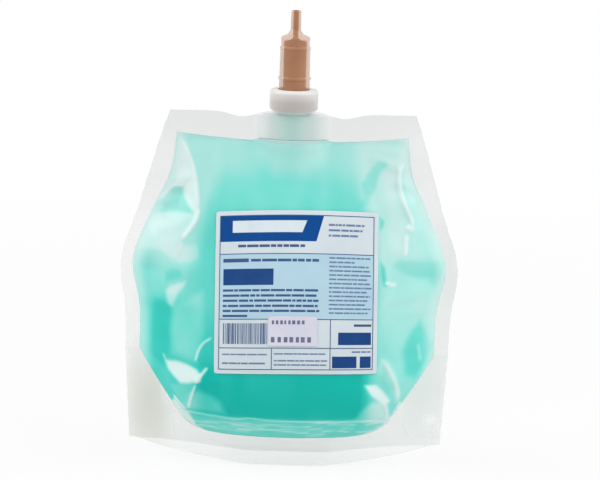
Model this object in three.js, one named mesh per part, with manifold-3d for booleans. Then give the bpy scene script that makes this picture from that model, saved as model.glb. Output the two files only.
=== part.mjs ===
// Refill pack of liquid hand soap: a film pouch that stands on its folded base, with a moulded
// spout welded into its top seal and a rubber dosing nozzle held on the spout by a snap collar.
// Millimetres, +Z up, label towards -Y, origin on the standing surface under the pouch's middle.

import {
  BufferAttribute,
  BufferGeometry,
  CubicInterpolant,
  CylinderGeometry,
  Curve,
  BoxGeometry,
  ExtrudeGeometry,
  Group,
  LatheGeometry,
  Mesh,
  MeshStandardMaterial,
  Shape,
  SphereGeometry,
  Vector2,
  Vector3,
} from 'three';
import { mergeVertices } from 'three/addons/utils/BufferGeometryUtils.js';
import Module from 'manifold-3d';

const wasm = await Module();
wasm.setup();

// Driving dimensions: the pouch
const clearance = 0.25; // left between pieces that touch
const filmThickness = 0.25;
const pouchWidth = 182; // at the widest level, across the side seals
const pouchHeight = 190.3; // from the floor to the top edge of the film
const bellyHalfDepth = 39.3; // half the thickness of the filled pouch, at its deepest level
const bellyLevel = 50; // height of that level
const skirtHalfDepth = 15; // half the distance between the front and back lower edges
const topSeal = 12; // height of the top seal at its ends
const topSealDip = 4; // how much lower the top seal reaches at the middle
const bottomSeal = 18; // height of the bottom seal at the middle
const bottomSealRise = 1.8; // how much higher it reaches beside the corner seals
const cornerLift = 10.3; // height of the bottom corners above the floor
const restHalfLength = 20; // half the length of lower edge that lies on the floor
const cornerSealFoot = 25.5; // height of the lower end of each sloping corner seal
const cornerSealSlope = 1.385; // its rise for each millimetre outwards
const gussetFold = 60; // height of the base film's fold at the side seals
const gussetRidge = 23.3; // height of the fold at the middle of the filled pouch
const foldedGaps = 1.5; // clearances on each side of the middle plane beside the folded base film
const bareGaps = 1.4; // and above it
const foldFade = 8; // height over which the seals close in above the fold

// Shape of the pouch: pairs of a share of the height and a share of the half width
const outlineShape = [
  [0, 0.934],
  [0.054, 0.934],
  [0.3, 0.96],
  [0.43, 0.969],
  [0.565, 1],
  [0.725, 0.9],
  [0.935, 0.771],
  [1, 0.725],
];
// Width of the side seal: pairs of a share of the height and a width
const sideSealShape = [
  [0, 5.6],
  [0.3, 7.6],
  [0.47, 8],
  [0.572, 6.6],
  [0.725, 8.4],
  [0.83, 11.4],
  [0.937, 8.2],
];

// Powers that bend the pouch's curves
const bellyRise = 1.2; // from the lower edge up to the belly
const bellyFall = 1.6; // from the belly up to the top seal
const crossCrown = 2.2; // across the middle
const crossSide = 0.85; // towards the side seals
const liftBend = 1.1; // along the lower edge

// Driving dimensions: label and sticker, as seen from the front on the curved wall
const labelWidth = 86.5;
const labelHeight = 84;
const labelThickness = 0.15;
const labelCorner = 1.6;
const labelOffset = 4.3; // its middle lies this far to the right of the pouch's middle
const labelRise = 0.4; // its middle above the middle of the soap's height
const labelBow = 1.7; // how much its upper and lower edges arch upwards
const labelTurn = 0.9; // degrees, right side up
const stickerWidth = 26;
const stickerHeight = 15.5;
const stickerThickness = 0.12;
const stickerCorner = 1;
const stickerAcross = 41.5; // label's left edge to the sticker's middle
const stickerUp = 22.5; // label's lower edge to the sticker's middle

// Driving dimensions: spout, collar and nozzle
const boatHalfLength = 19;
const boatStep = 0.3; // how far the neck stands out over the boat's middle
const boatTip = 0.8; // half the thickness of the boat's two ends
const boatHeight = 12.5;
const boatBelowEdge = 1.3; // top of the boat below the film's top edge
const spoutSlope = 0.15; // how fast the films close in below the boat
const spoutMargin = 2; // beyond the boat's ends, where they meet again
const spoutGaps = 3; // clearances between the boat and each film, for their flat faces
const spoutBore = 10;
const neckWall = 3.5;
const headHeight = 5.4;
const flangeWidth = 2.6; // of the nozzle's clamped flange, beyond the tube
const flangeHeight = 2;
const collarWall = 1.9;
const collarTop = 2; // thickness of the collar's top plate
const collarLip = 2.2; // height of the lip that snaps under the spout's head
const collarRound = 1.9; // radius of the collar's upper edge
const collarTaper = 2; // height of the sloping lower edge
const tubeWall = 2.2;
const tubeTaper = 0.25; // how much narrower the tube's radius is at its top ring
const tubeHeight = 28.2; // from the collar's top face to the shoulder's top
const ringHeight = 2.2;
const ringProud = 0.55; // how far the lower ring stands out
const lowerRingUp = 5.9; // collar's top face to the lower ring's middle
const upperRingDown = 6.1; // shoulder's top to the upper ring's middle
const shoulderHeight = 2.2;
const shoulderStep = 0.2;
const tipLength = 13.8;
const tipWall = 1.25;
const tipBore = 2.8;
const tipFlare = 2.2; // height of the cone at the tip's foot
const tipFlareWidth = 1.5;
const tipTaper = 0.15; // how much wider the tip's radius is at its foot
const ringFlat = 0.4; // flat share of a ring's height
const ringGroove = 0.1; // how deep the tube is cut above the lower ring
const shoulderGroove = 0.2; // and below the shoulder
const shoulderBevel = 0.6; // at the shoulder's upper edge
const shoulderCone = 1.2; // height of the cone between the shoulder and the tip's foot
const edgeBevel = 0.3;

// Driving dimensions: valves
const inletBall = 6.35; // diameter
const inletTravel = 1.8;
const outletBall = 4.76;
const ballRoom = 0.35; // between a ball and the wall round it
const seatShare = 0.78; // bore of a valve seat, as a share of its ball
const valveWall = 1.7;
const cageLip = 1.1;
const valveFlange = 1.6; // how far the inlet valve's foot flange stands out
const valveFlangeHeight = 2;
const seatHeight = 2.8;
const seatConeSlope = 0.6; // of the cone above the inlet valve's seat
const outletSeatCone = 0.5; // how far the outlet valve's bore narrows below its seat
const cageSlots = 4;
const cageSlotWidth = 2.4;
const chamberRoom = 0.8; // between the inlet valve's cage and the tube's bore
const bushHeight = 3.6;
const bushWall = 1.1;
const springWire = 0.42;
const springLength = 4.4;
const springTurns = 4.5;

// Faces along and across each curved surface
const skirtRows = 3;
const bellyRows = 14;
const sealRows = 2;
const gussetRows = 3;
const halfColumns = 10;
const sheetColumn = 6; // length of a sheet's face across, where the wall curves more
const sheetRow = 7; // and upwards
const roundSegments = 36;
const smallSegments = 24;
const boatSegments = 14;
const collarRoundSteps = 4;
const ballSegments = 16;
const ballRings = 12;
const springSteps = 12; // for each turn
const springSides = 3; // for each half of the wire's section
const overrun = 1; // how far one shape reaches into another that it joins or cuts

// Colours
const materials = {
  film: new MeshStandardMaterial({ color: 0xe4eae8, roughness: 0.25, transparent: true, opacity: 0.4 }),
  soap: new MeshStandardMaterial({ color: 0x2fcdbb, roughness: 0.15 }),
  paper: new MeshStandardMaterial({ color: 0xd9e4ea, roughness: 0.6 }),
  sticker: new MeshStandardMaterial({ color: 0xded8e6, roughness: 0.6 }),
  clearPlastic: new MeshStandardMaterial({ color: 0xcfd6d2, roughness: 0.35 }),
  rubber: new MeshStandardMaterial({ color: 0xbe917a, roughness: 0.55 }),
  whitePlastic: new MeshStandardMaterial({ color: 0xf0f0ec, roughness: 0.4 }),
  steel: new MeshStandardMaterial({ color: 0xb4b8bc, roughness: 0.25, metalness: 1 }),
};

// Small helpers
function curveThrough(points) {
  const at = points.map((point) => point[0]);
  const values = points.map((point) => point[1]);
  const curve = new CubicInterpolant(at, values, 1);
  const last = at[at.length - 1];
  return (position) => curve.evaluate(Math.min(Math.max(position, at[0]), last))[0];
}

function blend(from, to, share) {
  return from + (to - from) * share;
}

function withoutSlivers(geometry) {
  const bare = geometry.clone();
  bare.deleteAttribute('normal');
  bare.deleteAttribute('uv');
  const merged = mergeVertices(bare, 1e-4);
  const corners = merged.index.array;
  const kept = [];
  for (let i = 0; i < corners.length; i += 3) {
    const [a, b, c] = [corners[i], corners[i + 1], corners[i + 2]];
    if (a !== b && b !== c && c !== a) kept.push(a, b, c);
  }
  merged.setIndex(kept);
  return merged;
}

function toSolid(geometry) {
  const clean = withoutSlivers(geometry);
  return new wasm.Manifold(new wasm.Mesh({
    numProp: 3,
    vertProperties: Float32Array.from(clean.attributes.position.array),
    triVerts: Uint32Array.from(clean.index.array),
  }));
}

function toGeometry(solid) {
  const result = solid.getMesh();
  const geometry = new BufferGeometry();
  geometry.setAttribute('position', new BufferAttribute(result.vertProperties, 3));
  geometry.setIndex(new BufferAttribute(result.triVerts, 1));
  geometry.computeVertexNormals();
  return geometry;
}

function turned(profile, segments = roundSegments) {
  const points = profile.map(([radius, height]) => new Vector2(radius, height));
  return new LatheGeometry(points, segments).rotateX(Math.PI / 2);
}

function ring(profile, segments) {
  return turned([...profile, profile[0]], segments);
}

function cylinder(radius, foot, top, segments = roundSegments) {
  const geometry = new CylinderGeometry(radius, radius, top - foot, segments).rotateX(Math.PI / 2);
  return geometry.translate(0, 0, (foot + top) / 2);
}

// A closed solid between two grids of points with the same rows and columns. Rows run upwards
// and columns to the right as seen from outside the near grid, and each square of the grid is
// cut along its shorter diagonal.
function solidBetween(near, far) {
  const rows = near.length;
  const columns = near[0].length;
  const points = [...near.flat(), ...far.flat()];
  const nearIndex = (row, column) => row * columns + column;
  const farIndex = (row, column) => (rows + row) * columns + column;
  const corners = [];
  for (let row = 0; row < rows - 1; row += 1) {
    for (let column = 0; column < columns - 1; column += 1) {
      const quad = [[row, column], [row, column + 1], [row + 1, column + 1], [row + 1, column]];
      const [p, q, r, s] = quad.map(([i, j]) => near[i][j]);
      if (p.distanceTo(r) > q.distanceTo(s)) quad.push(quad.shift());
      const [a, b, c, d] = quad.map((cell) => nearIndex(...cell));
      const [e, f, g, h] = quad.map((cell) => farIndex(...cell));
      corners.push(a, b, c, a, c, d, e, g, f, e, h, g);
    }
  }
  const rim = [];
  for (let column = 0; column < columns - 1; column += 1) rim.push([0, column]);
  for (let row = 0; row < rows - 1; row += 1) rim.push([row, columns - 1]);
  for (let column = columns - 1; column > 0; column -= 1) rim.push([rows - 1, column]);
  for (let row = rows - 1; row > 0; row -= 1) rim.push([row, 0]);
  rim.forEach((cell, place) => {
    const next = rim[(place + 1) % rim.length];
    const [p, q] = [nearIndex(...cell), nearIndex(...next)];
    const [s, t] = [farIndex(...cell), farIndex(...next)];
    corners.push(q, p, s, q, s, t);
  });
  const geometry = new BufferGeometry();
  const places = points.flatMap((point) => point.toArray());
  geometry.setAttribute('position', new BufferAttribute(new Float32Array(places), 3));
  geometry.setIndex(corners);
  const clean = withoutSlivers(geometry);
  clean.computeVertexNormals();
  return clean;
}

// Outline and depth of the pouch
const outlineShare = curveThrough(outlineShape);
const sideSeal = curveThrough(sideSealShape);
const sealLevel = pouchHeight - topSeal;
const labelMiddle = (bottomSeal + sealLevel - topSealDip) / 2 + labelRise;

function filmHalfWidth(z) {
  return (pouchWidth / 2) * outlineShare(z / pouchHeight);
}

function soapHalfWidth(z) {
  return filmHalfWidth(z) - sideSeal(z / pouchHeight);
}

function topSealLine(x) {
  const across = Math.min(Math.abs(x) / soapHalfWidth(sealLevel), 1);
  return sealLevel - topSealDip * (1 - across ** 2);
}

const baseHalfLength = soapHalfWidth(0) - (gussetFold - cornerSealFoot) / cornerSealSlope;

function cornerSealLine(x) {
  const share = (Math.abs(x) - baseHalfLength) / (soapHalfWidth(0) - baseHalfLength);
  return blend(cornerSealFoot, gussetFold, share);
}

function bottomSealLine(x) {
  const across = Math.abs(x) / baseHalfLength;
  return Math.max(bottomSeal + bottomSealRise * across ** 2, Math.min(cornerSealLine(x), gussetFold));
}

function gussetLine(x) {
  const across = Math.abs(x) / baseHalfLength;
  const middle = blend(gussetRidge, cornerSealFoot, Math.min(across, 1) ** 2);
  return Math.max(middle, Math.min(cornerSealLine(x), gussetFold));
}

function lowerEdge(x) {
  const share = (Math.abs(x) - restHalfLength) / (filmHalfWidth(0) - restHalfLength);
  return cornerLift * Math.max(share, 0) ** liftBend;
}

function bellyProfile(z) {
  if (z < bellyLevel) {
    const rise = Math.sin((Math.PI / 2) * (Math.max(z, 0) / bellyLevel) ** bellyRise);
    return blend(skirtHalfDepth, bellyHalfDepth, rise);
  }
  const fall = Math.min((z - bellyLevel) / (sealLevel - bellyLevel), 1);
  return bellyHalfDepth * (1 - fall ** bellyFall);
}

function acrossProfile(share) {
  return share < 1 ? (1 - share ** crossCrown) ** crossSide : 0;
}

const neckRadius = spoutBore / 2 + neckWall;
const boatHalfThickness = neckRadius - boatStep;
const boatTop = pouchHeight - boatBelowEdge;
const boatFoot = boatTop - boatHeight;

function boatProfile(x) {
  return blend(boatHalfThickness, boatTip, (x / boatHalfLength) ** 2);
}

// Room that the spout's foot needs between the films
function spoutRoom(x, z) {
  const below = Math.max(sealLevel - topSealDip - z, 0);
  const room = boatProfile(x) + spoutGaps * clearance - below * spoutSlope;
  return Math.abs(x) < boatHalfLength + spoutMargin ? room : 0;
}

// Half the space between the films where nothing fills it: two folds of base film, or none
function sealRoom(z) {
  const folded = foldedGaps * clearance + filmThickness;
  const bare = bareGaps * clearance;
  return blend(folded, bare, Math.min(Math.max((z - gussetFold) / foldFade, 0), 1));
}

// Distance from the middle plane to the inner face of a wall
function wallDepth(x, z) {
  const level = (z * sealLevel) / topSealLine(x);
  const belly = bellyProfile(level) * acrossProfile(Math.abs(x) / soapHalfWidth(z));
  return Math.max(belly, spoutRoom(x, z), sealRoom(z));
}

// Grid of the pouch: columns from -2 to 2, where 1 is the inner edge of the side seal
const soapColumns = [];
for (let step = -halfColumns; step <= halfColumns; step += 1) {
  soapColumns.push(Math.sin((Math.PI / 2) * (step / halfColumns)));
}
const filmColumns = [-2, -1.5, ...soapColumns, 1.5, 2];

function columnX(column, z) {
  const inner = soapHalfWidth(z);
  if (Math.abs(column) <= 1) return column * inner;
  return Math.sign(column) * blend(inner, filmHalfWidth(z), Math.abs(column) - 1);
}

// Heights along a column: lower edge, bottom seal, fold, top seal and top edge
function columnLevels(column) {
  return {
    edge: lowerEdge(columnX(column, 0)),
    bottom: bottomSealLine(columnX(column, 0)),
    ridge: gussetLine(columnX(column, 0)),
    top: topSealLine(columnX(column, sealLevel)),
    end: pouchHeight,
  };
}

function steps(count, from, to) {
  return Array.from({ length: count + 1 }, (_, step) => blend(from, to, step / count));
}

function filmHeights(column) {
  const { edge, bottom, top, end } = columnLevels(column);
  const skirt = steps(skirtRows, edge, bottom).slice(0, -1);
  const seal = steps(sealRows, top, end).slice(1);
  return [...skirt, ...steps(bellyRows, bottom, top), ...seal];
}

function transposed(columns) {
  return columns[0].map((_, row) => columns.map((column) => column[row]));
}

// A face of the pouch: side -1 is the front and 1 the back, set out from the wall's inner face
function wallGrid(side, outset) {
  return transposed(filmColumns.map((column) => filmHeights(column).map((z) => {
    const x = columnX(column, z);
    return new Vector3(x, side * (wallDepth(x, z) + outset), z);
  })));
}

function frontFilm() {
  return solidBetween(wallGrid(-1, filmThickness), wallGrid(-1, 0));
}

function backFilm() {
  return solidBetween(wallGrid(1, 0), wallGrid(1, filmThickness));
}

// The base film runs up inside the front wall, over the fold and down inside the back wall
function gussetColumn(column, inset, drop) {
  const { edge, bottom, ridge } = columnLevels(column);
  const leg = steps(skirtRows, edge, bottom - drop).map((z) => {
    const legX = columnX(column, z);
    return new Vector3(legX, -(wallDepth(legX, z) - clearance - inset), z);
  });
  const weld = leg[leg.length - 1];
  const slope = steps(gussetRows, 0, 1).slice(1).map((share) => (
    new Vector3(weld.x, weld.y * (1 - share), blend(weld.z, ridge - drop, share))
  ));
  const half = [...leg, ...slope];
  const mirrored = half.slice(0, -1).reverse().map((point) => new Vector3(point.x, -point.y, point.z));
  return [...half, ...mirrored];
}

function gussetFilm() {
  const upper = transposed(filmColumns.map((column) => gussetColumn(column, 0, clearance)));
  const under = transposed(filmColumns.map((column) => (
    gussetColumn(column, filmThickness, clearance + filmThickness)
  )));
  return solidBetween(upper, under);
}

function soapColumn(side, column) {
  const { bottom, ridge, top } = columnLevels(column);
  const inner = (x, z) => side * (wallDepth(x, z) - clearance);
  const footX = columnX(column, bottom);
  const foot = new Vector3(footX, inner(footX, bottom), bottom);
  const floor = steps(gussetRows, 0, 1).slice(0, -1).map((share) => (
    new Vector3(foot.x, foot.y * share, blend(ridge, foot.z, share))
  ));
  const wall = steps(bellyRows, bottom, top).map((z) => {
    const x = columnX(column, z);
    return new Vector3(x, inner(x, z), z);
  });
  return [...floor, ...wall];
}

function soapBody() {
  const front = transposed(soapColumns.map((column) => soapColumn(-1, column)));
  const back = transposed(soapColumns.map((column) => soapColumn(1, column)));
  return solidBetween(front, back);
}

// Shares along a side of a sheet: its cut corners and steps of about the given length
function sheetShares(length, step, corner) {
  const inner = steps(Math.ceil(length / step), 0, 1).slice(1, -1);
  return [0, corner / length, ...inner, 1 - corner / length, 1];
}

// A sheet that lies on the front wall: across and up are measured from its middle
function sheetOnFront(middleX, middleZ, width, height, corner, thickness, outset) {
  const turn = (labelTurn * Math.PI) / 180;
  const bowAt = (x) => labelBow * (1 - ((x - labelOffset) / (labelWidth / 2)) ** 2);
  const columns = sheetShares(width, sheetColumn, corner);
  const rows = sheetShares(height, sheetRow, corner);
  const place = (across, up, lift) => {
    const x = middleX + across * Math.cos(turn) - up * Math.sin(turn);
    const z = middleZ + across * Math.sin(turn) + up * Math.cos(turn) + bowAt(x);
    return new Vector3(x, -(wallDepth(x, z) + filmThickness + outset + lift), z);
  };
  const grid = (lift) => rows.map((v) => columns.map((u) => {
    const across = (u - 0.5) * width;
    const up = (v - 0.5) * height;
    const atCorner = (u === 0 || u === 1) && (v === 0 || v === 1);
    const pull = atCorner ? corner * (1 - Math.SQRT1_2) : 0;
    return place(across - Math.sign(across) * pull, up - Math.sign(up) * pull, lift);
  }));
  return solidBetween(grid(thickness), grid(0));
}

function label() {
  return sheetOnFront(
    labelOffset, labelMiddle, labelWidth, labelHeight, labelCorner, labelThickness, clearance,
  );
}

function dateSticker() {
  const x = labelOffset - labelWidth / 2 + stickerAcross;
  const z = labelMiddle - labelHeight / 2 + stickerUp;
  const outset = 2 * clearance + labelThickness;
  return sheetOnFront(x, z, stickerWidth, stickerHeight, stickerCorner, stickerThickness, outset);
}

// Radii and levels of the spout, collar, valves and nozzle, from the inside outwards
const cagePocket = inletBall / 2 + ballRoom;
const cageRadius = cagePocket + valveWall;
const chamberRadius = cageRadius + chamberRoom;
const tubeRadius = chamberRadius + tubeWall;
const flangeRadius = tubeRadius + flangeWidth;
const collarBore = flangeRadius + clearance;
const collarRadius = collarBore + collarWall;

const collarFoot = pouchHeight + clearance;
const headFoot = collarFoot + collarLip + clearance;
const headTop = headFoot + headHeight;
const flangeFoot = headTop + clearance;
const flangeTop = flangeFoot + flangeHeight;
const collarPlate = flangeTop + clearance;
const collarEnd = collarPlate + collarTop;
const shoulderTop = collarEnd + tubeHeight;
const tipTop = shoulderTop + tipLength;
const valveFoot = headTop - valveFlangeHeight;

function spout() {
  const outline = new Shape();
  const crest = 2 * boatHalfThickness - boatTip;
  outline.moveTo(-boatHalfLength, -boatTip);
  outline.quadraticCurveTo(0, -crest, boatHalfLength, -boatTip);
  outline.lineTo(boatHalfLength, boatTip);
  outline.quadraticCurveTo(0, crest, -boatHalfLength, boatTip);
  const boat = new ExtrudeGeometry(outline, {
    depth: boatHeight,
    bevelEnabled: false,
    curveSegments: boatSegments,
  });
  const foot = toSolid(boat.translate(0, 0, boatFoot));
  const neck = toSolid(cylinder(neckRadius, boatTop - overrun, headTop - overrun));
  const head = toSolid(cylinder(flangeRadius, headFoot, headTop));
  const bore = toSolid(cylinder(spoutBore / 2, boatFoot - overrun, headTop + overrun));
  const recessRadius = cageRadius + valveFlange + clearance;
  const recess = toSolid(cylinder(recessRadius, valveFoot - clearance, headTop + overrun));
  return toGeometry(foot.add(neck).add(head).subtract(bore).subtract(recess));
}

function collar() {
  const lipRadius = neckRadius + clearance;
  const taper = lipRadius + collarWall;
  const outside = [[taper, collarFoot], [collarRadius, collarFoot + collarTaper]];
  for (let step = 0; step <= collarRoundSteps; step += 1) {
    const angle = (Math.PI / 2) * (step / collarRoundSteps);
    const out = collarRadius - collarRound * (1 - Math.cos(angle));
    outside.push([out, collarEnd - collarRound * (1 - Math.sin(angle))]);
  }
  const inside = [
    [tubeRadius + clearance, collarEnd],
    [tubeRadius + clearance, collarPlate],
    [collarBore, collarPlate],
    [collarBore, collarFoot + collarLip],
    [lipRadius, collarFoot + collarLip],
    [lipRadius, collarFoot],
  ];
  return ring([...outside, ...inside]);
}

// Outlet valve and tip, from the inside outwards
const outletPocket = outletBall / 2 + ballRoom;
const bushRadius = outletPocket + bushWall;
const springTop = shoulderTop - shoulderHeight;
const springFoot = springTop - springLength;
const springRadius = outletBall / 2 - springWire;
const outletContact = Math.sqrt((outletBall / 2) ** 2 - springRadius ** 2);
const outletCentre = springFoot - springWire / 2 - clearance - outletContact;
const outletSeatRadius = (outletBall / 2) * seatShare;
const outletSeatTop = outletCentre - clearance - Math.sqrt((outletBall / 2) ** 2 - outletSeatRadius ** 2);
const bushTop = outletSeatTop;
const bushFoot = bushTop - bushHeight;

function nozzleTube() {
  const narrow = tubeRadius - tubeTaper;
  const lowerRing = collarEnd + lowerRingUp;
  const upperRing = shoulderTop - upperRingDown;
  const half = ringHeight / 2;
  const flat = half * ringFlat;
  const shoulder = narrow - shoulderStep;
  const tip = tipBore / 2 + tipWall;
  const outside = [
    [flangeRadius, flangeFoot],
    [flangeRadius, flangeTop],
    [tubeRadius, flangeTop],
    [tubeRadius, lowerRing - half],
    [tubeRadius + ringProud, lowerRing - flat],
    [tubeRadius + ringProud, lowerRing + flat],
    [tubeRadius - ringGroove, lowerRing + half],
    [narrow, upperRing - half],
    [narrow + ringProud / 2, upperRing - flat],
    [narrow + ringProud / 2, upperRing + flat],
    [shoulder - shoulderGroove, upperRing + half],
    [shoulder - shoulderGroove, shoulderTop - shoulderHeight],
    [shoulder, shoulderTop - shoulderHeight + edgeBevel],
    [shoulder, shoulderTop - shoulderBevel],
    [shoulder - shoulderBevel, shoulderTop],
    [tip + tipFlareWidth, shoulderTop + shoulderCone],
    [tip + tipTaper, shoulderTop + shoulderCone + tipFlare],
    [tip, tipTop - edgeBevel],
    [tip - edgeBevel, tipTop],
  ];
  const inside = [
    [tipBore / 2, tipTop],
    [tipBore / 2, springTop + clearance],
    [outletPocket, springTop + clearance],
    [outletPocket, bushTop + clearance],
    [bushRadius + clearance, bushTop + clearance],
    [bushRadius + clearance, bushFoot - clearance],
    [chamberRadius, bushFoot - clearance - (chamberRadius - bushRadius)],
    [chamberRadius, flangeFoot],
  ];
  return ring([...outside, ...inside]);
}

// The ball rests on the seat's edge and lifts until it meets the cage's lip
const inletRadius = inletBall / 2;
const inletSeatRadius = inletRadius * seatShare;
const inletSeatTop = valveFoot + seatHeight;
const inletContact = Math.sqrt(inletRadius ** 2 - inletSeatRadius ** 2);
const inletCentre = inletSeatTop + clearance + inletContact;
const cageCeiling = inletCentre + inletTravel + inletContact + clearance;

function inletValve() {
  const flange = cageRadius + valveFlange;
  const seatCone = cagePocket - inletSeatRadius;
  const body = toSolid(ring([
    [flange, valveFoot],
    [flange, headTop],
    [cageRadius, headTop],
    [cageRadius, cageCeiling + cageLip],
    [inletSeatRadius, cageCeiling + cageLip],
    [inletSeatRadius, cageCeiling],
    [cagePocket, cageCeiling],
    [cagePocket, inletSeatTop + seatCone * seatConeSlope],
    [inletSeatRadius, inletSeatTop],
    [inletSeatRadius, valveFoot],
  ], smallSegments));
  const slotFoot = inletCentre;
  const slotHeight = cageCeiling - slotFoot;
  const slots = Array.from({ length: cageSlots / 2 }, (_, place) => {
    const slot = new BoxGeometry(3 * cageRadius, cageSlotWidth, slotHeight);
    slot.translate(0, 0, slotFoot + slotHeight / 2);
    return toSolid(slot.rotateZ((Math.PI * 2 * place) / cageSlots));
  });
  return toGeometry(slots.reduce((left, slot) => left.subtract(slot), body));
}

function outletValve() {
  const bore = outletSeatRadius - outletSeatCone;
  return ring([
    [bushRadius, bushFoot],
    [bushRadius, bushTop],
    [outletSeatRadius, bushTop],
    [bore, bushTop - 2 * outletSeatCone],
    [bore, bushFoot],
  ], smallSegments);
}

function ball(diameter, centre) {
  const sphere = new SphereGeometry(diameter / 2, ballSegments, ballRings);
  return sphere.rotateX(Math.PI / 2).translate(0, 0, centre);
}

class Helix extends Curve {
  getPoint(share, target = new Vector3()) {
    const angle = share * springTurns * 2 * Math.PI;
    const rise = springLength - springWire;
    return target.set(
      springRadius * Math.cos(angle),
      springRadius * Math.sin(angle),
      springFoot + springWire / 2 + rise * share,
    );
  }
}

function outletSpring() {
  const section = new Shape();
  section.absarc(0, 0, springWire / 2, 0, 2 * Math.PI);
  return new ExtrudeGeometry(section, {
    curveSegments: springSides,
    steps: Math.round(springTurns * springSteps),
    extrudePath: new Helix(),
  });
}

// The assembly
const pack = new Group();

function place(name, geometry, material) {
  const mesh = new Mesh(geometry, material);
  mesh.name = name;
  pack.add(mesh);
}

place('front_film', frontFilm(), materials.film);
place('back_film', backFilm(), materials.film);
place('gusset_film', gussetFilm(), materials.film);
place('soap', soapBody(), materials.soap);
place('label', label(), materials.paper);
place('date_sticker', dateSticker(), materials.sticker);
place('spout', spout(), materials.clearPlastic);
place('collar', collar(), materials.clearPlastic);
place('nozzle_tube', nozzleTube(), materials.rubber);
place('inlet_valve', inletValve(), materials.whitePlastic);
place('inlet_ball', ball(inletBall, inletCentre), materials.steel);
place('outlet_valve', outletValve(), materials.whitePlastic);
place('outlet_ball', ball(outletBall, outletCentre), materials.steel);
place('outlet_spring', outletSpring(), materials.steel);

export default pack;
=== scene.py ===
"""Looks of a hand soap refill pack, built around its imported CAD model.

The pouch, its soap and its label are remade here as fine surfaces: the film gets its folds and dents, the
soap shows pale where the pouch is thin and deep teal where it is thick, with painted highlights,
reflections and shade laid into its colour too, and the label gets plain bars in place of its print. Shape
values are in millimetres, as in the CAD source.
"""

import math
import random

import bpy
import numpy as np
from mathutils import Matrix, Vector, geometry, noise


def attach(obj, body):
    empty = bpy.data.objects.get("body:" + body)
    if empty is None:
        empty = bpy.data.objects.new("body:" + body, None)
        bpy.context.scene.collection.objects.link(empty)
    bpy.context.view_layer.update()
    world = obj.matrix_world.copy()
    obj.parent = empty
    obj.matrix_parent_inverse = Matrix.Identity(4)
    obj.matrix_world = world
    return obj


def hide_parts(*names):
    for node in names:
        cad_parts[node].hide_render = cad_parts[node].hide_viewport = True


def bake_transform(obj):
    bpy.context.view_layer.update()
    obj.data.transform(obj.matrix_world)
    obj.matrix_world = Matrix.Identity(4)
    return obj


MM = 0.001
PACK = "pack"

# Pouch, the same values as in the CAD source
CLEARANCE = 0.25
FILM = 0.25
POUCH_WIDTH = 182
POUCH_HEIGHT = 190.3
BELLY_HALF_DEPTH = 39.3
BELLY_LEVEL = 50
SKIRT_HALF_DEPTH = 15
TOP_SEAL = 12
TOP_SEAL_DIP = 4
BOTTOM_SEAL = 18
BOTTOM_SEAL_RISE = 1.8
CORNER_LIFT = 10.3
REST_HALF_LENGTH = 20
CORNER_SEAL_FOOT = 25.5
CORNER_SEAL_SLOPE = 1.385
GUSSET_FOLD = 60
GUSSET_RIDGE = 23.3
TOP_SAG = 2.8  # of the film's upper edge, beside the spout
TOP_SAG_AT = 27
TOP_SAG_WIDTH = 9
SIDE_WAVER = 0.4
WAVER_LENGTHS = (1.7, 7, 4.3)
WAVER_DRIFT = 1.5
BELLY_RISE = 1.2  # powers of the walls' curves: from the lower edge up to the belly
BELLY_FALL = 1.6  # from the belly up to the top seal
CROSS_CROWN = 2.2  # across the middle
CROSS_SIDE = 0.85  # towards the side seals
LIFT_BEND = 1.1  # along the lower edge
SEAL_EASE = 8  # above the folded base, where the seals close up
OUTLINE_SHAPE = [
    (0, 0.934), (0.054, 0.934), (0.3, 0.96), (0.43, 0.969), (0.565, 1), (0.725, 0.9), (0.935, 0.771),
    (1, 0.725),
]
SIDE_SEAL_SHAPE = [
    (0, 5.6), (0.3, 7.6), (0.47, 8), (0.572, 6.6), (0.725, 8.4), (0.83, 11.4), (0.937, 8.2),
]

# Label and sticker
LABEL_WIDTH = 86.5
LABEL_HEIGHT = 84
LABEL_THICKNESS = 0.15
LABEL_CORNER = 1.6
LABEL_OFFSET = 4.3
LABEL_RISE = 0.4
LABEL_BOW = 1.7
LABEL_TURN = math.radians(0.9)
STICKER_WIDTH = 26
STICKER_HEIGHT = 15.5
STICKER_THICKNESS = 0.12
STICKER_ACROSS = 41.5
STICKER_UP = 22.5

# Spout, collar and nozzle
BOAT_HALF_LENGTH = 19
BOAT_HALF_THICKNESS = 8.2
BOAT_TIP = 0.8
BOAT_HEIGHT = 12.5
BOAT_BELOW_EDGE = 1.3
BOAT_EASE = 8  # length over which the soap's level rises at each end of the boat
SPOUT_SLOPE = 0.15
SPOUT_BLEND = 0.5  # how softly the wall runs round the spout's boat
SPOUT_BELLY_BLEND = 2.6  # and, further down, from the spout into the belly
COLLAR_FOOT = 190.55
COLLAR_LIP = 2.2
COLLAR_PLATE = 200.9
COLLAR_END = 202.9
COLLAR_RADIUS = 12.975
COLLAR_BORE = 11.075
COLLAR_NECK = 8.75
COLLAR_TAPER_RADIUS = 10.65
COLLAR_TAPER = 2
COLLAR_ROUND = 1.9
NOZZLE_FOOT = 198.65
FLANGE_TOP = 200.65
FLANGE_RADIUS = 10.825
TUBE_RADIUS = 8.225
TUBE_TOP_RADIUS = 7.975
LOWER_RING = 208.8
UPPER_RING = 225
RING_HEIGHT = 2.2
RING_PROUD = 0.55
RING_FLAT = 0.4  # share of a ring's height that is flat
RING_STEP = 0.1  # how much narrower the tube is above the lower ring
NECK_IN = 0.2  # how far the tube draws in between the upper ring and the shoulder
SHOULDER_FOOT = 228.9
SHOULDER_TOP = 231.1
SHOULDER_RADIUS = 7.775
TIP_TOP = 244.9
TIP_RADIUS = 2.65
SPRING_FOOT = 224.5
SPRING_TOP = 228.9
SPRING_RADIUS = 1.96
SPRING_WIRE = 0.42
SPRING_TURNS = 4.5
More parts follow.
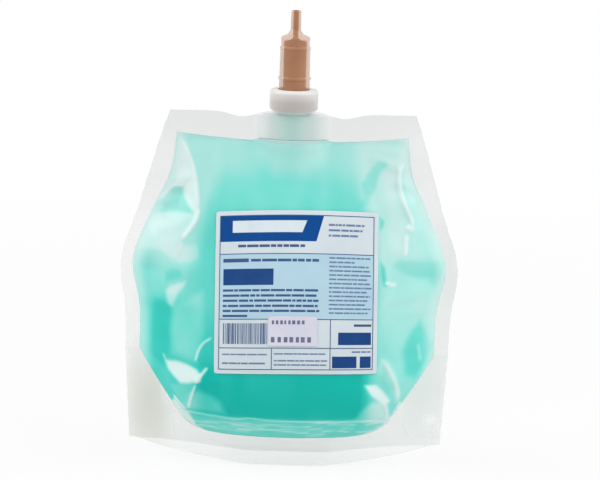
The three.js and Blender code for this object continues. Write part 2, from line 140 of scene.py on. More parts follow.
# Radius and height: the nozzle's bore, and the outlet valve's seat round its own bore
NOZZLE_BORE = [(1.4, TIP_TOP), (1.4, 230.4), (2.73, 229.15), (6.025, 228.4), (6.025, NOZZLE_FOOT)]
OUTLET_SEAT = [
    (5.775, 217.35), (5.775, 228.15), (2.73, 228.15), (2.73, 220.95), (1.856, 220.95), (1.356, 219.95),
    (1.356, 217.35),
]


def curve_through(points):
    """A smooth curve through pairs of a place and a value, the same as the CAD source's."""
    at, values = np.array(points, float).T
    secants = np.diff(values) / np.diff(at)
    middle = (secants[1:] + secants[:-1]) / 2
    slopes = np.concatenate([secants[:1], middle, secants[-1:]])

    def evaluate(place):
        place = np.clip(place, at[0], at[-1])
        i = np.clip(np.searchsorted(at, place, side="right") - 1, 0, len(at) - 2)
        span = at[i + 1] - at[i]
        t = (place - at[i]) / span
        start = (2 * t**3 - 3 * t**2 + 1) * values[i] + (t**3 - 2 * t**2 + t) * span * slopes[i]
        end = (3 * t**2 - 2 * t**3) * values[i + 1] + (t**3 - t**2) * span * slopes[i + 1]
        return start + end

    return evaluate


def blend(start, end, share):
    return start + (end - start) * share


def smooth(share):
    share = np.clip(share, 0, 1)
    return share * share * (3 - 2 * share)


# Outline and depth of the pouch
outline_share = curve_through(OUTLINE_SHAPE)
side_seal = curve_through(SIDE_SEAL_SHAPE)
SEAL_LEVEL = POUCH_HEIGHT - TOP_SEAL
LABEL_MIDDLE = (BOTTOM_SEAL + SEAL_LEVEL - TOP_SEAL_DIP) / 2 + LABEL_RISE


def film_half_width(z):
    return POUCH_WIDTH / 2 * outline_share(z / POUCH_HEIGHT)


def soap_half_width(z):
    return film_half_width(z) - side_seal(z / POUCH_HEIGHT)


def top_seal_line(x):
    across = np.minimum(np.abs(x) / soap_half_width(SEAL_LEVEL), 1)
    return SEAL_LEVEL - TOP_SEAL_DIP * (1 - across**2)


BASE_HALF_LENGTH = soap_half_width(0) - (GUSSET_FOLD - CORNER_SEAL_FOOT) / CORNER_SEAL_SLOPE


def corner_seal_line(x):
    share = (np.abs(x) - BASE_HALF_LENGTH) / (soap_half_width(0) - BASE_HALF_LENGTH)
    return np.minimum(blend(CORNER_SEAL_FOOT, GUSSET_FOLD, share), GUSSET_FOLD)


def bottom_seal_line(x):
    """The soap's lower edge, which curves up into the sloping corner seals."""
    share = np.minimum(np.abs(x) / BASE_HALF_LENGTH, 1)
    corner = CORNER_SEAL_FOOT - BOTTOM_SEAL - BOTTOM_SEAL_RISE
    middle = BOTTOM_SEAL + BOTTOM_SEAL_RISE * share**2 + corner * share**8
    return np.maximum(middle, corner_seal_line(x))


def gusset_line(x):
    across = np.minimum(np.abs(x) / BASE_HALF_LENGTH, 1)
    return np.maximum(blend(GUSSET_RIDGE, CORNER_SEAL_FOOT, across**2), corner_seal_line(x))


def lower_edge(x):
    share = (np.abs(x) - REST_HALF_LENGTH) / (film_half_width(0) - REST_HALF_LENGTH)
    return CORNER_LIFT * np.maximum(share, 0) ** LIFT_BEND


def top_edge(x):
    """The film's upper edge, which sags on both sides of the spout."""
    beside = (np.abs(x) - TOP_SAG_AT) / TOP_SAG_WIDTH
    return POUCH_HEIGHT - TOP_SAG * np.exp(-(beside**2))


def side_waver(z):
    """How far the cut edge at the sides waves inwards."""
    short, long, middle = (z / length for length in WAVER_LENGTHS)
    return SIDE_WAVER * (1 + np.sin(short + WAVER_DRIFT * np.sin(long)) * np.sin(middle)) / 2


def belly_profile(z):
    low = np.sin(math.pi / 2 * (np.maximum(z, 0) / BELLY_LEVEL) ** BELLY_RISE)
    below = blend(SKIRT_HALF_DEPTH, BELLY_HALF_DEPTH, low)
    rise = np.clip((z - BELLY_LEVEL) / (SEAL_LEVEL - BELLY_LEVEL), 0, 1)
    return np.where(z < BELLY_LEVEL, below, BELLY_HALF_DEPTH * (1 - rise**BELLY_FALL))


def across_profile(share):
    return (1 - np.minimum(share, 1) ** CROSS_CROWN) ** CROSS_SIDE


def boat_profile(x):
    return blend(BOAT_HALF_THICKNESS, BOAT_TIP, (x / BOAT_HALF_LENGTH) ** 2)


def spout_room(x, z):
    below = np.maximum(SEAL_LEVEL - TOP_SEAL_DIP - z, 0)
    return boat_profile(x) + 3 * CLEARANCE - below * SPOUT_SLOPE


def seal_room(z):
    folded = 1.5 * CLEARANCE + FILM
    return blend(folded, 1.4 * CLEARANCE, np.clip((z - GUSSET_FOLD) / SEAL_EASE, 0, 1))


def smooth_depth(x, z):
    """Distance from the middle plane to the inner face of a wall, without its folds."""
    level = z * SEAL_LEVEL / top_seal_line(x)
    belly = belly_profile(level) * across_profile(np.abs(x) / soap_half_width(z))
    reach = blend(SPOUT_BLEND, SPOUT_BELLY_BLEND, smooth((top_seal_line(x) - z) / TOP_SEAL))
    shoulder = np.logaddexp(belly / reach, spout_room(x, z) / reach) * reach
    return np.maximum(shoulder, seal_room(z))


# Folds and dents of the walls
FRONT = -1
BACK = 1
FOLD_END = 0.15  # share of a fold's length over which each of its ends fades out
# The painted highlight along a fold is this much narrower than the fold
FOLD_LINE = math.sqrt(0.5)  # width of a fold's bright line, as a share of the fold's own
FACET_EASE = 1.4  # how far the facets' edges are rounded off, to either side
PUCKER_HEIGHT = 0.7
PUCKER_SIZE = 7
PUCKER_STRETCH = 0.25  # thins the noise inwards, so that the puckers are longer than wide
PUCKER_AT = 7  # in from the side seals, where the puckers are highest
PUCKER_REACH = 12
SIDE_APART = 40  # keeps the noise of the left side and the right side apart
LABEL_HOLD = 7  # how far round the label the film is held flat
FADE_BESIDE = 9  # from the side seals to where the folds have their full height
FADE_ABOVE = 12
FADE_BELOW = 10
NOISE_GAIN = 1.6
SWAY_SIZE = 26
SWAY_STRETCH = 0.4
SWAY_SEED = 5.6
RIM_SWAY = 1.6
SWAY_RIM = 30  # width of the rim that sways
CORNER_SWAY = 1.2
SWAY_LEVEL = 120  # from here up, the corners beside the spout sway too
SWAY_RISE = 60
SWAY_BESIDE = 25
SWAY_FOOT = 8  # up to here the foot stands still
SWAY_FOOT_RISE = 20
# Each fold of the front: its path of x and z, its height outwards, its width, and how bright the painted
# highlight along it is
FRONT_FOLDS = [
    ([(-60.5, 176), (-56, 169), (-52, 159), (-50, 148), (-49, 138)], 0.7, 1.3, 0.2),
    ([(-49, 139), (-50, 134), (-54.5, 126.5), (-58, 122)], 0.7, 1.2, 0.45),
    ([(-73, 141), (-68, 144), (-63, 149.5), (-58, 150)], 0.5, 1.1, 0.2),
    ([(59.9, 165.4), (57.8, 162.2), (57.2, 156.3), (58.2, 150.5), (60, 145.3), (62.9, 139),
      (66.3, 131.4)], 0.9, 1, 0.9),
    ([(66.3, 131.4), (64.2, 130.5), (62, 132.7)], 0.6, 1.1, 0.8),
    ([(62.2, 128), (61.8, 122.3), (61.7, 116.5)], 0.7, 1.1, 0.8),
    ([(62, 178), (66.4, 166.6), (69.4, 156.2), (72.9, 145.3), (77, 134.5), (80.6, 121.9)], 0.6, 1.4, 0.3),
    ([(51, 103.5), (53.8, 102.2), (57.5, 101.3)], 0.5, 1, 0.7),
    ([(-47.8, 47.4), (-49.8, 40.9), (-52.2, 31.5)], 0.8, 0.8, 0.8),
    ([(-48.3, 47.2), (-45.2, 52.1), (-41.6, 57)], 1, 1.2, 1),
    ([(-60.5, 38.7), (-56.7, 34.7), (-52.8, 30.8)], 0.7, 0.8, 0.8),
    ([(-39.4, 73), (-44.7, 68.9), (-47.2, 64.3), (-48.7, 58)], 0.5, 0.9, 0.6),
    ([(53, 39), (54.7, 33.2), (55.4, 27.5)], 0.6, 1, 0.6),
    ([(50, 64), (56.3, 55), (59.7, 46.4), (60.6, 37.5)], 0.6, 1.6, 0.35),
    ([(70.4, 69), (71.1, 63.6), (72.3, 58)], 0.4, 1.2, 0.25),
]
BACK_FOLDS = [
    ([(60, 176), (54, 166), (50, 152), (52, 138), (60, 126)], 0.9, 1.4, 0.4),
    ([(-60, 170), (-56, 158), (-60, 144), (-66, 134)], 0.8, 1.2, 0.5),
    ([(52, 30), (47, 46), (40, 57)], 0.8, 1, 0.6),
    ([(-54, 32), (-50, 44), (-42, 52)], 0.8, 1, 0.6),
    ([(-72, 118), (-64, 112), (-52, 113)], 0.6, 1.2, 0.3),
]
# Creased places: corners of flat facets, each with its x, z and height outwards. The outer
# corners have no height, so that the facets run out into the smooth wall.
FRONT_LEFT_FACETS = [
    (-60, 178, 0), (-44, 172, 0), (-40, 150, 0), (-41, 128, 0), (-45, 112, 0), (-56, 92, 0),
    (-76, 90, 0), (-84, 102, 0), (-84, 118, 0), (-80, 130, 0), (-76, 144, 0), (-70, 160, 0), (-65, 172, 0),
    (-52.5, 165, 1.6), (-50.6, 156, 2), (-49, 140, 2.6), (-50, 133, 2.4), (-57, 123.5, 1.4),
    (-60.6, 163.5, -1.4), (-59.7, 153, 0.6), (-65, 150.3, 0.8), (-71, 145, 0.4), (-59, 145, -2.2),
    (-70, 139, -1.2), (-60.4, 139.3, -0.6), (-71, 135.7, 1), (-64, 131, 0.4), (-51, 118.4, 0.8),
    (-70, 114.7, 1), (-63.7, 110, 0.6), (-79, 113, 0.6), (-72, 105, -2.4), (-65, 99, -0.8),
    (-56, 112.7, -0.6), (-53.9, 105.5, 0.8),
]
FRONT_RIGHT_FACETS = [
    (60, 177, 0), (40, 170, 0), (36, 148, 0), (46, 134, 0), (50, 112, 0), (52, 92, 0),
    (72, 86, 0), (84, 96, 0), (86, 112, 0), (80, 132, 0), (76, 144, 0), (70, 160, 0), (66, 172, 0),
    (46.9, 166, 0.6), (42.5, 152, -0.8), (48.8, 157.5, -0.4), (59.5, 160.5, 1.6), (62.1, 146.7, 1.8),
    (68.4, 134, 2), (69.3, 146, -1.4), (75, 134, -1.4), (64.8, 124, 1.4), (55, 128, -0.4),
    (54, 119, 0.4), (67.3, 116.8, 0.8), (80, 115.6, 0.4), (62, 106, -1.6), (76, 105, -2), (66, 96, 0.6),
]
FRONT_LOW_LEFT_FACETS = [
    (-50, 24, 0), (-24, 33, 0), (-30, 50, 0), (-38, 72, 0), (-54, 82, 0), (-72, 74, 0), (-78, 62, 0),
    (-66, 44, 0), (-58, 33, 0), (-65.5, 58.4, -0.6), (-56.8, 56.5, -1.4), (-49.1, 56, -1),
    (-46, 50, 1.2), (-53.7, 46.5, 2.2), (-60, 48.4, 1.6), (-50, 40, 0.8), (-38.5, 44, -0.8),
    (-47, 63, 0.8), (-57, 66, 0.4),
]
FRONT_LOW_RIGHT_FACETS = [
    (52, 24, 0), (28, 33, 0), (34, 50, 0), (44, 64, 0), (56, 82, 0), (72, 76, 0), (79, 62, 0),
    (68, 45, 0), (60, 34, 0), (41.8, 50.5, -0.8), (47.2, 49.7, -1.2), (52.8, 44.8, -0.4),
    (57, 37, 0.6), (46.3, 43, 1.4), (51.5, 37.5, 1.4), (56, 53, 1.4), (63, 60, -0.8), (52, 62, 0.4),
    (66, 68, 0.8),
]
FRONT_FACETS = [FRONT_LEFT_FACETS, FRONT_RIGHT_FACETS, FRONT_LOW_LEFT_FACETS, FRONT_LOW_RIGHT_FACETS]
# The photograph doesn't show the back, so its creases follow the front's, side for side
BACK_STRETCH = 1.01
BACK_DROP = 3
BACK_SHARE = 0.9
BACK_FACETS = [
    [(-x * BACK_STRETCH, z - BACK_DROP, height * BACK_SHARE) for x, z, height in facets]
    for facets in FRONT_FACETS
]
# Each wall: its folds and facets, the seed of its puckers, and the height, size and seed of its dents
WALLS = {
    FRONT: (FRONT_FOLDS, FRONT_FACETS, 3.1, 0.4, 22, 9.4),
    BACK: (BACK_FOLDS, BACK_FACETS, 17.7, 0.6, 26, 31.2),
}


def distance_to_path(x, z, path):
    """Distance to a path of points, and how far along it the nearest place is, from 0 to 1."""
    nearest = np.full(np.shape(x), np.inf)
    along = np.zeros(np.shape(x))
    steps = [math.dist(a, b) for a, b in zip(path, path[1:])]
    walked = 0
    for (ax, az), (bx, bz), step in zip(path, path[1:], steps):
        share = np.clip(((x - ax) * (bx - ax) + (z - az) * (bz - az)) / step**2, 0, 1)
        apart = np.hypot(x - blend(ax, bx, share), z - blend(az, bz, share))
        closer = apart < nearest
        nearest = np.where(closer, apart, nearest)
        along = np.where(closer, (walked + share * step) / sum(steps), along)
        walked += step
    return nearest, along


def rounded_path(points, count=24):
    """The same path with a smooth curve through its points."""
    lengths = [0] + list(np.cumsum([math.dist(a, b) for a, b in zip(points, points[1:])]))
    places = np.linspace(0, lengths[-1], count)
    across = curve_through([(at, p[0]) for at, p in zip(lengths, points)])(places)
    up = curve_through([(at, p[1]) for at, p in zip(lengths, points)])(places)
    return list(zip(across, up))


def fold_ridge(x, z, path, width):
    """1 along the middle of a fold, and 0 away from it and at its ends."""
    apart, along = distance_to_path(x, z, rounded_path(path))
    ends = smooth(along / FOLD_END) * smooth((1 - along) / FOLD_END)
    return ends * np.exp(-((apart / width) ** 2))


def fold_relief(x, z, folds):
    return sum(height * fold_ridge(x, z, path, width) for path, height, width, _ in folds)


def fold_painted_highlight(x, z, folds):
    """The thin painted highlight along each fold."""
    lines = [amount * fold_ridge(x, z, path, width * FOLD_LINE) for path, _, width, amount in folds]
    return np.max(lines, axis=0)


def facet_relief(x, z, corners):
    """Height of flat facets between the given corners, and 0 outside them."""
    flat = [Vector(corner[:2]) for corner in corners]
    triangles = geometry.delaunay_2d_cdt(flat, [], [], 0, 0.001)[2]
    relief = np.zeros(np.shape(x))
    for triangle in triangles:
        (ax, az, ah), (bx, bz, bh), (cx, cz, ch) = (corners[i] for i in triangle)
        area = (bz - cz) * (ax - cx) + (cx - bx) * (az - cz)
        u = ((bz - cz) * (x - cx) + (cx - bx) * (z - cz)) / area
        v = ((cz - az) * (x - cx) + (ax - cx) * (z - cz)) / area
        w = 1 - u - v
        within = (u >= 0) & (v >= 0) & (w >= 0)
        relief = np.where(within, u * ah + v * bh + w * ch, relief)
    return relief


def eased_facets(x, z, corners):
    """Height of flat facets whose edges are rounded off a little."""
    shifts = [(-FACET_EASE, 0), (FACET_EASE, 0), (0, -FACET_EASE), (0, FACET_EASE)]
    return sum(facet_relief(x + across, z + up, corners) for across, up in shifts) / len(shifts)


def noise_field(x, z, size, seed):
    """Smooth random values from about -1 to 1, with lumps of about the given size."""
    flat = zip(np.ravel(x) / size, np.ravel(z) / size)
    values = [noise.noise(Vector((u, v, seed))) for u, v in flat]
    return np.reshape(values, np.shape(x)) * NOISE_GAIN


def pucker_relief(x, z, seed):
    """Short folds that run inwards from the side seals."""
    inwards = soap_half_width(z) - np.abs(x)
    waves = noise_field(np.sign(x) * SIDE_APART + inwards * PUCKER_STRETCH, z, PUCKER_SIZE, seed)
    return PUCKER_HEIGHT * waves * np.exp(-(((inwards - PUCKER_AT) / PUCKER_REACH) ** 2))


def label_cover(x, z):
    """1 under the label, which holds the film flat, and 0 away from it."""
    beside = np.maximum(np.abs(x - LABEL_OFFSET) - LABEL_WIDTH / 2, 0)
    above = np.maximum(np.abs(z - LABEL_MIDDLE) - LABEL_HEIGHT / 2, 0)
    return 1 - smooth(np.hypot(beside, above) / LABEL_HOLD)


def inside_soap(x, z):
    """0 on the seals and 1 a little way inside the filled part."""
    beside = (soap_half_width(z) - np.abs(x)) / FADE_BESIDE
    above = (top_seal_line(x) - z) / FADE_ABOVE
    below = (z - bottom_seal_line(x)) / FADE_BELOW
    return smooth(np.minimum(np.minimum(beside, above), below))


def wall_depth(x, z, side):
    """Distance from the middle plane to the inner face of a wall. The label holds the front flat."""
    folds, facets, pucker_seed, dent_height, dent_size, dent_seed = WALLS[side]
    relief = fold_relief(x, z, folds) + sum(eased_facets(x, z, corners) for corners in facets)
    relief += pucker_relief(x, z, pucker_seed) + dent_height * noise_field(x, z, dent_size, dent_seed)
    free = 1 - label_cover(x, z) if side == FRONT else 1
    return smooth_depth(x, z) + relief * inside_soap(x, z) * free


def sway(x, z):
    """How far the whole pouch waves backwards, mostly along its seals."""
    rim = RIM_SWAY * (1 - smooth((film_half_width(z) - np.abs(x)) / SWAY_RIM))
    corner = smooth((z - SWAY_LEVEL) / SWAY_RISE) * smooth((np.abs(x) - SWAY_BESIDE) / SWAY_BESIDE)
    wave = noise_field(x * SWAY_STRETCH, z, SWAY_SIZE, SWAY_SEED)
    return wave * (rim + CORNER_SWAY * corner) * smooth((z - SWAY_FOOT) / SWAY_FOOT_RISE)


# Grids over the pouch: columns from -2 to 2, where 1 is the inner edge of the side seal
SOAP_COLUMNS = np.linspace(-1, 1, 213)
SEAL_COLUMNS = np.linspace(1, 2, 11)[1:]
FILM_COLUMNS = np.concatenate([-SEAL_COLUMNS[::-1], SOAP_COLUMNS, SEAL_COLUMNS])
SKIRT_ROWS = 20
BELLY_ROWS = 192
SEAL_ROWS = 12
FOOT_ROWS = 14  # of the base film, up to its weld
RIDGE_ROWS = 10  # from there up to its fold
RIDGE_WAVE = 0.5
RIDGE_WAVE_SIZE = 9
RIDGE_WAVE_SEED = 2.2


def column_x(column, z):
    inner = soap_half_width(z)
    outer = np.sign(column) * blend(inner, film_half_width(z) - side_waver(z), np.abs(column) - 1)
    return np.where(np.abs(column) <= 1, column * inner, outer)


def film_levels():
    """Heights of every row of the film, for each column."""
    foot_x = column_x(FILM_COLUMNS, 0)
    edge = lower_edge(foot_x)
    bottom = bottom_seal_line(foot_x)
    top = top_seal_line(column_x(FILM_COLUMNS, SEAL_LEVEL))
    skirt = [blend(edge, bottom, share) for share in np.linspace(0, 1, SKIRT_ROWS + 1)[:-1]]
    belly = [blend(bottom, top, share) for share in np.linspace(0, 1, BELLY_ROWS + 1)]
    high = top_edge(column_x(FILM_COLUMNS, POUCH_HEIGHT))
    seal = [blend(top, high, share) for share in np.linspace(0, 1, SEAL_ROWS + 1)[1:]]
    return np.array(skirt + belly + seal)


def grid_points(x, y, z):
    return np.stack(np.broadcast_arrays(x, y, z), axis=-1)


def add_mesh(name, points, faces, body=PACK):
    mesh = bpy.data.meshes.new(name)
    mesh.from_pydata((np.reshape(points, (-1, 3)) * MM).tolist(), [], faces)
    mesh.polygons.foreach_set("use_smooth", [True] * len(mesh.polygons))
    mesh.update()
    piece = bpy.data.objects.new(name, mesh)
    bpy.context.scene.collection.objects.link(piece)
    if body:
        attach(piece, body)
    return piece


def grid_faces(rows, columns, first=0, turned=False):
    """The squares of a grid of points. They face forwards where columns run to the right."""
    corner = np.arange(rows * columns).reshape(rows, columns) + first
    ring = [corner[:-1, :-1], corner[:-1, 1:], corner[1:, 1:], corner[1:, :-1]]
    if turned:
        ring.reverse()
    return np.stack(ring, axis=-1).reshape(-1, 4).tolist()


def rim_of(rows, columns):
    """The numbers of a grid's outer points, once round."""
    corner = np.arange(rows * columns).reshape(rows, columns)
    return [*corner[0, :-1], *corner[:-1, -1], *corner[-1, :0:-1], *corner[:0:-1, 0]]


def closed_faces(rows, columns):
    """Faces of a closed body between two grids, the first one in front."""
    count = rows * columns
    faces = grid_faces(rows, columns) + grid_faces(rows, columns, count, turned=True)
    rim = [int(point) for point in rim_of(rows, columns)]
    for here, after in zip(rim, rim[1:] + rim[:1]):
        faces.append([after, here, here + count, after + count])
    return faces


def swayed(x, y, z):
    return grid_points(x, y + sway(x, z), z)


def wall_points(side, outset):
    """Points that far outside the inner face of a film wall."""
    z = film_levels()
    x = column_x(FILM_COLUMNS, z)
    return swayed(x, side * (wall_depth(x, z, side) + outset), z)


def split_materials(piece, rows, columns, materials):
    """The film is milky along its seals and clear where the soap wets it."""
    for name in ("film_seal", "film_window"):
        piece.data.materials.append(materials[name])
    finish = np.zeros((rows - 1, columns - 1), int)
    side = len(SEAL_COLUMNS)
    finish[SKIRT_ROWS : SKIRT_ROWS + BELLY_ROWS, side:-side] = 1
    piece.data.polygons.foreach_set("material_index", finish.ravel())


def film_wall(name, node, side, materials):
    points = wall_points(side, FILM / 2)
    rows, columns = points.shape[:2]
    piece = add_mesh(name, points, grid_faces(rows, columns, turned=side == BACK))
    split_materials(piece, rows, columns, materials)
    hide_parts(node)


def gusset_points():
    """The base film: up inside the front wall, over its fold and down inside the back wall."""
    foot_x = column_x(FILM_COLUMNS, 0)
    edge = lower_edge(foot_x)
    weld = bottom_seal_line(foot_x) - CLEARANCE
    ridge = gusset_line(foot_x) - CLEARANCE
    rows = []
    for share in np.linspace(0, 1, FOOT_ROWS):
        z = blend(edge, weld, share)
        x = column_x(FILM_COLUMNS, z)
        rows.append((x, -(wall_depth(x, z, FRONT) - CLEARANCE), z))
    weld_x, weld_y, _ = rows[-1]
    wrinkle = RIDGE_WAVE * noise_field(weld_x, weld * 0, RIDGE_WAVE_SIZE, RIDGE_WAVE_SEED)
    for share in np.linspace(0, 1, RIDGE_ROWS)[1:]:
        z = blend(weld, ridge, share) + wrinkle * math.sin(math.pi * share) * (ridge > weld)
        rows.append((weld_x, weld_y * (1 - share), z))
    mirrored = [(x, -y, z) for x, y, z in reversed(rows[:-1])]
    return np.array([swayed(*row) for row in rows + mirrored])


def gusset(material):
    points = gusset_points()
    piece = add_mesh("base_film", points, grid_faces(*points.shape[:2]))
    piece.data.materials.append(material)
    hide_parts("gusset_film")


# Patches of the front where the soap looks paler or deeper than round them: some because the pouch is
# pinched thin there or bulges, others painted light, such as the lamps' reflections and painted highlights
# on its facets and a paler top middle against the shade under the spout: corners of x and z, the change of
# shade, and the soft edge's width
FRONT_DEPTH_AND_LIGHT_PATCHES = [
    ([(-60, 176), (-56, 169), (-52, 159), (-50, 148.5), (-49, 138), (-51.5, 136.5), (-55, 140.5),
      (-57.5, 145), (-57.5, 149), (-62, 149.5), (-61.5, 158), (-60.5, 169)], -0.25, 3),
    ([(-61, 174.5), (-61, 161), (-63, 149.5), (-71.5, 141.5), (-73, 141.5), (-69, 149.5),
      (-63.5, 169)], -0.08, 2.5),
    ([(-73.5, 141), (-68.5, 142), (-65.5, 146.5), (-61.5, 149), (-58, 149), (-57.5, 144.5), (-54.5, 140),
      (-51.5, 136.5), (-61.5, 136.5), (-68.5, 135), (-73, 134)], 0.1, 2),
    ([(-73, 133.5), (-61.5, 136), (-51, 136), (-49, 139), (-50, 134), (-54.5, 126.5), (-58, 123.5),
      (-57.5, 120), (-60.5, 114), (-61.5, 110), (-65, 113.5), (-69, 116), (-81.5, 115),
      (-78.5, 123.5)], -0.15, 3),
    ([(-58, 120.5), (-54.5, 119), (-50, 120.5), (-48.5, 117.5), (-48.5, 113.5), (-53, 111), (-59.5, 110),
      (-61.5, 113.5)], -0.16, 3),
    # Painted light: a paler top middle under the spout, against the shade there
    ([(-14, 180), (14, 180), (20, 168), (10, 158), (-10, 158), (-20, 168)], -0.12, 10),
    ([(-83, 113.5), (-76, 114.5), (-67.5, 115), (-64, 112.5), (-62, 109), (-66, 105.5), (-70, 100.5),
      (-78, 95.5), (-81.5, 100)], -0.01, 3),
    ([(-66, 104), (-62.5, 106.5), (-58, 106), (-57, 102.5), (-61.5, 101), (-65.5, 99.5)], 0.14, 2.5),
    ([(-55, 100.5), (-56, 97.5), (-59, 94), (-60, 91), (-62, 86), (-64.5, 88), (-65.5, 94.5),
      (-63, 97.5)], -0.35, 3),
    ([(-71.5, 89.5), (-66.5, 90), (-62, 86), (-63, 73), (-63, 62), (-65.5, 53), (-68.5, 54.5), (-74, 60),
      (-73.5, 76.5)], 0.1, 4),
    ([(-61, 86.5), (-45.5, 96.5), (-44.5, 75.5), (-47, 64.5), (-49, 58.5), (-60.5, 61.5),
      (-62.5, 73)], -0.2, 6),
    # Painted highlight: the bright spot on the lower left facet
    ([(-66, 59.5), (-64.5, 56.5), (-58, 57), (-52.5, 56), (-47.5, 54.5), (-45.5, 52.5), (-45.5, 48.5),
      (-52, 47), (-56.5, 46.5), (-60, 49.5), (-63, 52.5)], -0.85, 3),
    ([(-57.5, 46), (-48, 47.5), (-50.5, 39), (-53, 32.5), (-58.5, 38.5), (-62, 43.5)], -0.15, 3),
    ([(-51, 40.5), (-46.5, 43.5), (-40, 41.5), (-34.5, 38), (-32, 31.5), (-43.5, 31),
      (-51.5, 32.5)], -0.35, 5),
    # Painted reflection of the right lamp down the upper right of the wall
    ([(57.5, 172.5), (61.5, 177.5), (64, 172.5), (60, 166), (57.5, 159), (57, 151), (60, 143), (61, 130),
      (61.5, 117), (56.5, 116), (53.5, 122.5), (52, 138), (50, 156.5), (52.5, 167)], -0.1, 6),
    ([(62, 176.5), (67, 159), (65.5, 150.5), (59, 153.5), (60.5, 167)], -0.08, 4),
    ([(46, 166), (50, 165.5), (51, 163.5), (48, 161), (46, 156.5), (45, 151), (42.5, 148), (40, 147.5),
      (37.5, 153.5), (41, 160)], 0.2, 3),
    ([(40, 147.5), (42.5, 147.5), (41.5, 144), (37.5, 141), (36, 143.5)], 0.08, 3),
    ([(47.5, 137), (50, 135), (49.5, 131.5), (48, 130)], 0.3, 2),
    ([(48.5, 114), (51, 111), (52.5, 100.5), (50.5, 101.5), (49, 107)], 0.35, 2),
    ([(55.5, 111.5), (58, 114.5), (75.5, 112.5), (84.5, 112), (83.5, 108.5), (81, 103), (79, 98),
      (75, 102.5), (65, 105.5), (59.5, 108.5)], 0.13, 3),
    ([(71, 81.5), (74.5, 75), (79, 66), (77, 59), (72, 53.5), (69, 50), (64, 52.5), (62, 66),
      (65, 73.5)], 0.24, 5),
    ([(50, 63.5), (57, 54.5), (60.5, 45), (61, 37), (58.5, 37.5), (56, 47.5), (52.5, 53.5),
      (48, 56)], -0.12, 3),
    # Painted highlight: the bright streak on the lower right facet
    ([(42, 49), (48, 48.5), (51.5, 45), (56, 39), (53, 38), (46.5, 43)], -0.85, 2),
    ([(53, 39), (55.5, 28), (47, 29), (37.5, 29.5), (41, 35), (46.5, 39.5)], -0.35, 4),
    ([(-59.5, 36), (-53.5, 29.5), (-51.5, 28.5), (-48, 22.5), (-39.5, 17.5), (-56.5, 12),
      (-68, 25)], -1, 2.5),
    ([(61.5, 37), (55.5, 26.5), (47, 21), (39.5, 18), (59.5, 15), (67, 29)], -1, 2.5),
]
# The back gets the same patches side for side, painted light included
BACK_DEPTH_AND_LIGHT_PATCHES = [
    ([(-x * BACK_STRETCH, z - BACK_DROP) for x, z in corners], change, edge)
    for corners, change, edge in FRONT_DEPTH_AND_LIGHT_PATCHES
]
# Colour down the wall's middle and down its sides: pairs of a height and a shade from 0 to 1. Part of it is
# the soap's thickness and part is painted light: the right side is paler where the right lamp's reflection
# falls, the top is paler where the lamps above reflect, and low down it is deeper both where the soap is
# thick and where the wall faces down, away from the lamps.
MIDDLE_SHADES = [
    (18, 0.5), (28, 0.6), (31, 1), (54, 1), (62, 0.84), (90, 0.6), (125, 0.6), (143, 0.54), (154, 0.5),
    (163, 0.36), (173, 0.29), (178, 0.25),
]
LEFT_SHADES = [
    (18, 0.4), (28, 0.5), (31, 0.55), (50, 0.64), (70, 0.68), (86, 0.66), (94, 0.42), (107, 0.42),
    (114, 0.3), (143, 0.28), (178, 0.26),
]
RIGHT_SHADES = [
    (18, 0.4), (30, 0.45), (50, 0.38), (62, 0.33), (90, 0.25), (105, 0.32), (116, 0.24), (143, 0.22),
    (178, 0.2),
]
SIDE_BLEND = 0.16  # share of the half width over which the middle's colour gives way to a side's
LEFT_FROM = 0.52  # share of the half width where that change starts
RIGHT_FROM = 0.47
EDGE_FADE = 9  # from the side seal to where the soap has its full colour
EDGE_SHARE = 0.4  # of its colour that it has at the seal
# Wrinkles of the base film, seen through the thin soap in front of them and drawn as painted highlight
# lines: height, brightness of the painted highlight and length. The base line is the film's fold above
# them, which gets a painted highlight of its own.
BASE_WRINKLES = [(27.2, 0.3, 16), (25.7, 0.35, 9), (24, 0.25, 12), (22.4, 0.4, 8), (20.8, 0.25, 14)]
BASE_LINE = [
    (-53.3, 30.2), (-38, 29.4), (-26, 28.8), (-19, 29.8), (-12, 29.2), (3, 28.8), (40, 28.2), (54, 27.2),
]
BASE_LINE_WIDTH = 0.55
BASE_LINE_HIGHLIGHT = 0.5
BASE_LINE_POINTS = 60
WRINKLE_WIDTH = 0.5
WRINKLE_MIDDLE = 24  # the level of the wrinkle that runs level. The others fan out from it
WRINKLE_FAN = 0.01
WRINKLE_BEND = 0.8
BEND_SIZE = 17
BEND_SEED = 8.8
BREAK_GAIN = 1.8  # how sharply the wrinkles break off along their length
BREAK_SEED = 6.6
# Soft clouds in the soap's colour: amount, size, stretch upwards and seed
CLOUDS = [(0.06, 28, 1, 12.5), (0.04, 9, 0.4, 4.5)]


def inside_patch(x, z, corners, edge):
    """1 inside a patch and 0 outside it, with a soft edge."""
    within = np.zeros(np.shape(x), bool)
    for (ax, az), (bx, bz) in zip(corners, corners[1:] + corners[:1]):
        crosses = (az > z) != (bz > z)
        meets = ax + (z - az) * (bx - ax) / (bz - az if bz != az else 1)
        within ^= crosses & (x < meets)
    apart, _ = distance_to_path(x, z, corners + corners[:1])
    return smooth(0.5 + np.where(within, apart, -apart) / edge)


def base_wrinkle_highlights(x, z):
    """Painted highlights along the base film's fold and wrinkles."""
    apart, _ = distance_to_path(x, z, rounded_path(BASE_LINE, BASE_LINE_POINTS))
    pale = BASE_LINE_HIGHLIGHT * np.exp(-((apart / BASE_LINE_WIDTH) ** 2))
    bend = WRINKLE_BEND * noise_field(x, z * 0, BEND_SIZE, BEND_SEED)
    for height, amount, length in BASE_WRINKLES:
        broken = smooth(0.5 + BREAK_GAIN * noise_field(x, z * 0 + height, length, BREAK_SEED))
        level = height + bend + WRINKLE_FAN * (height - WRINKLE_MIDDLE) * x
        pale += amount * broken * np.exp(-(((z - level) / WRINKLE_WIDTH) ** 2))
    return pale


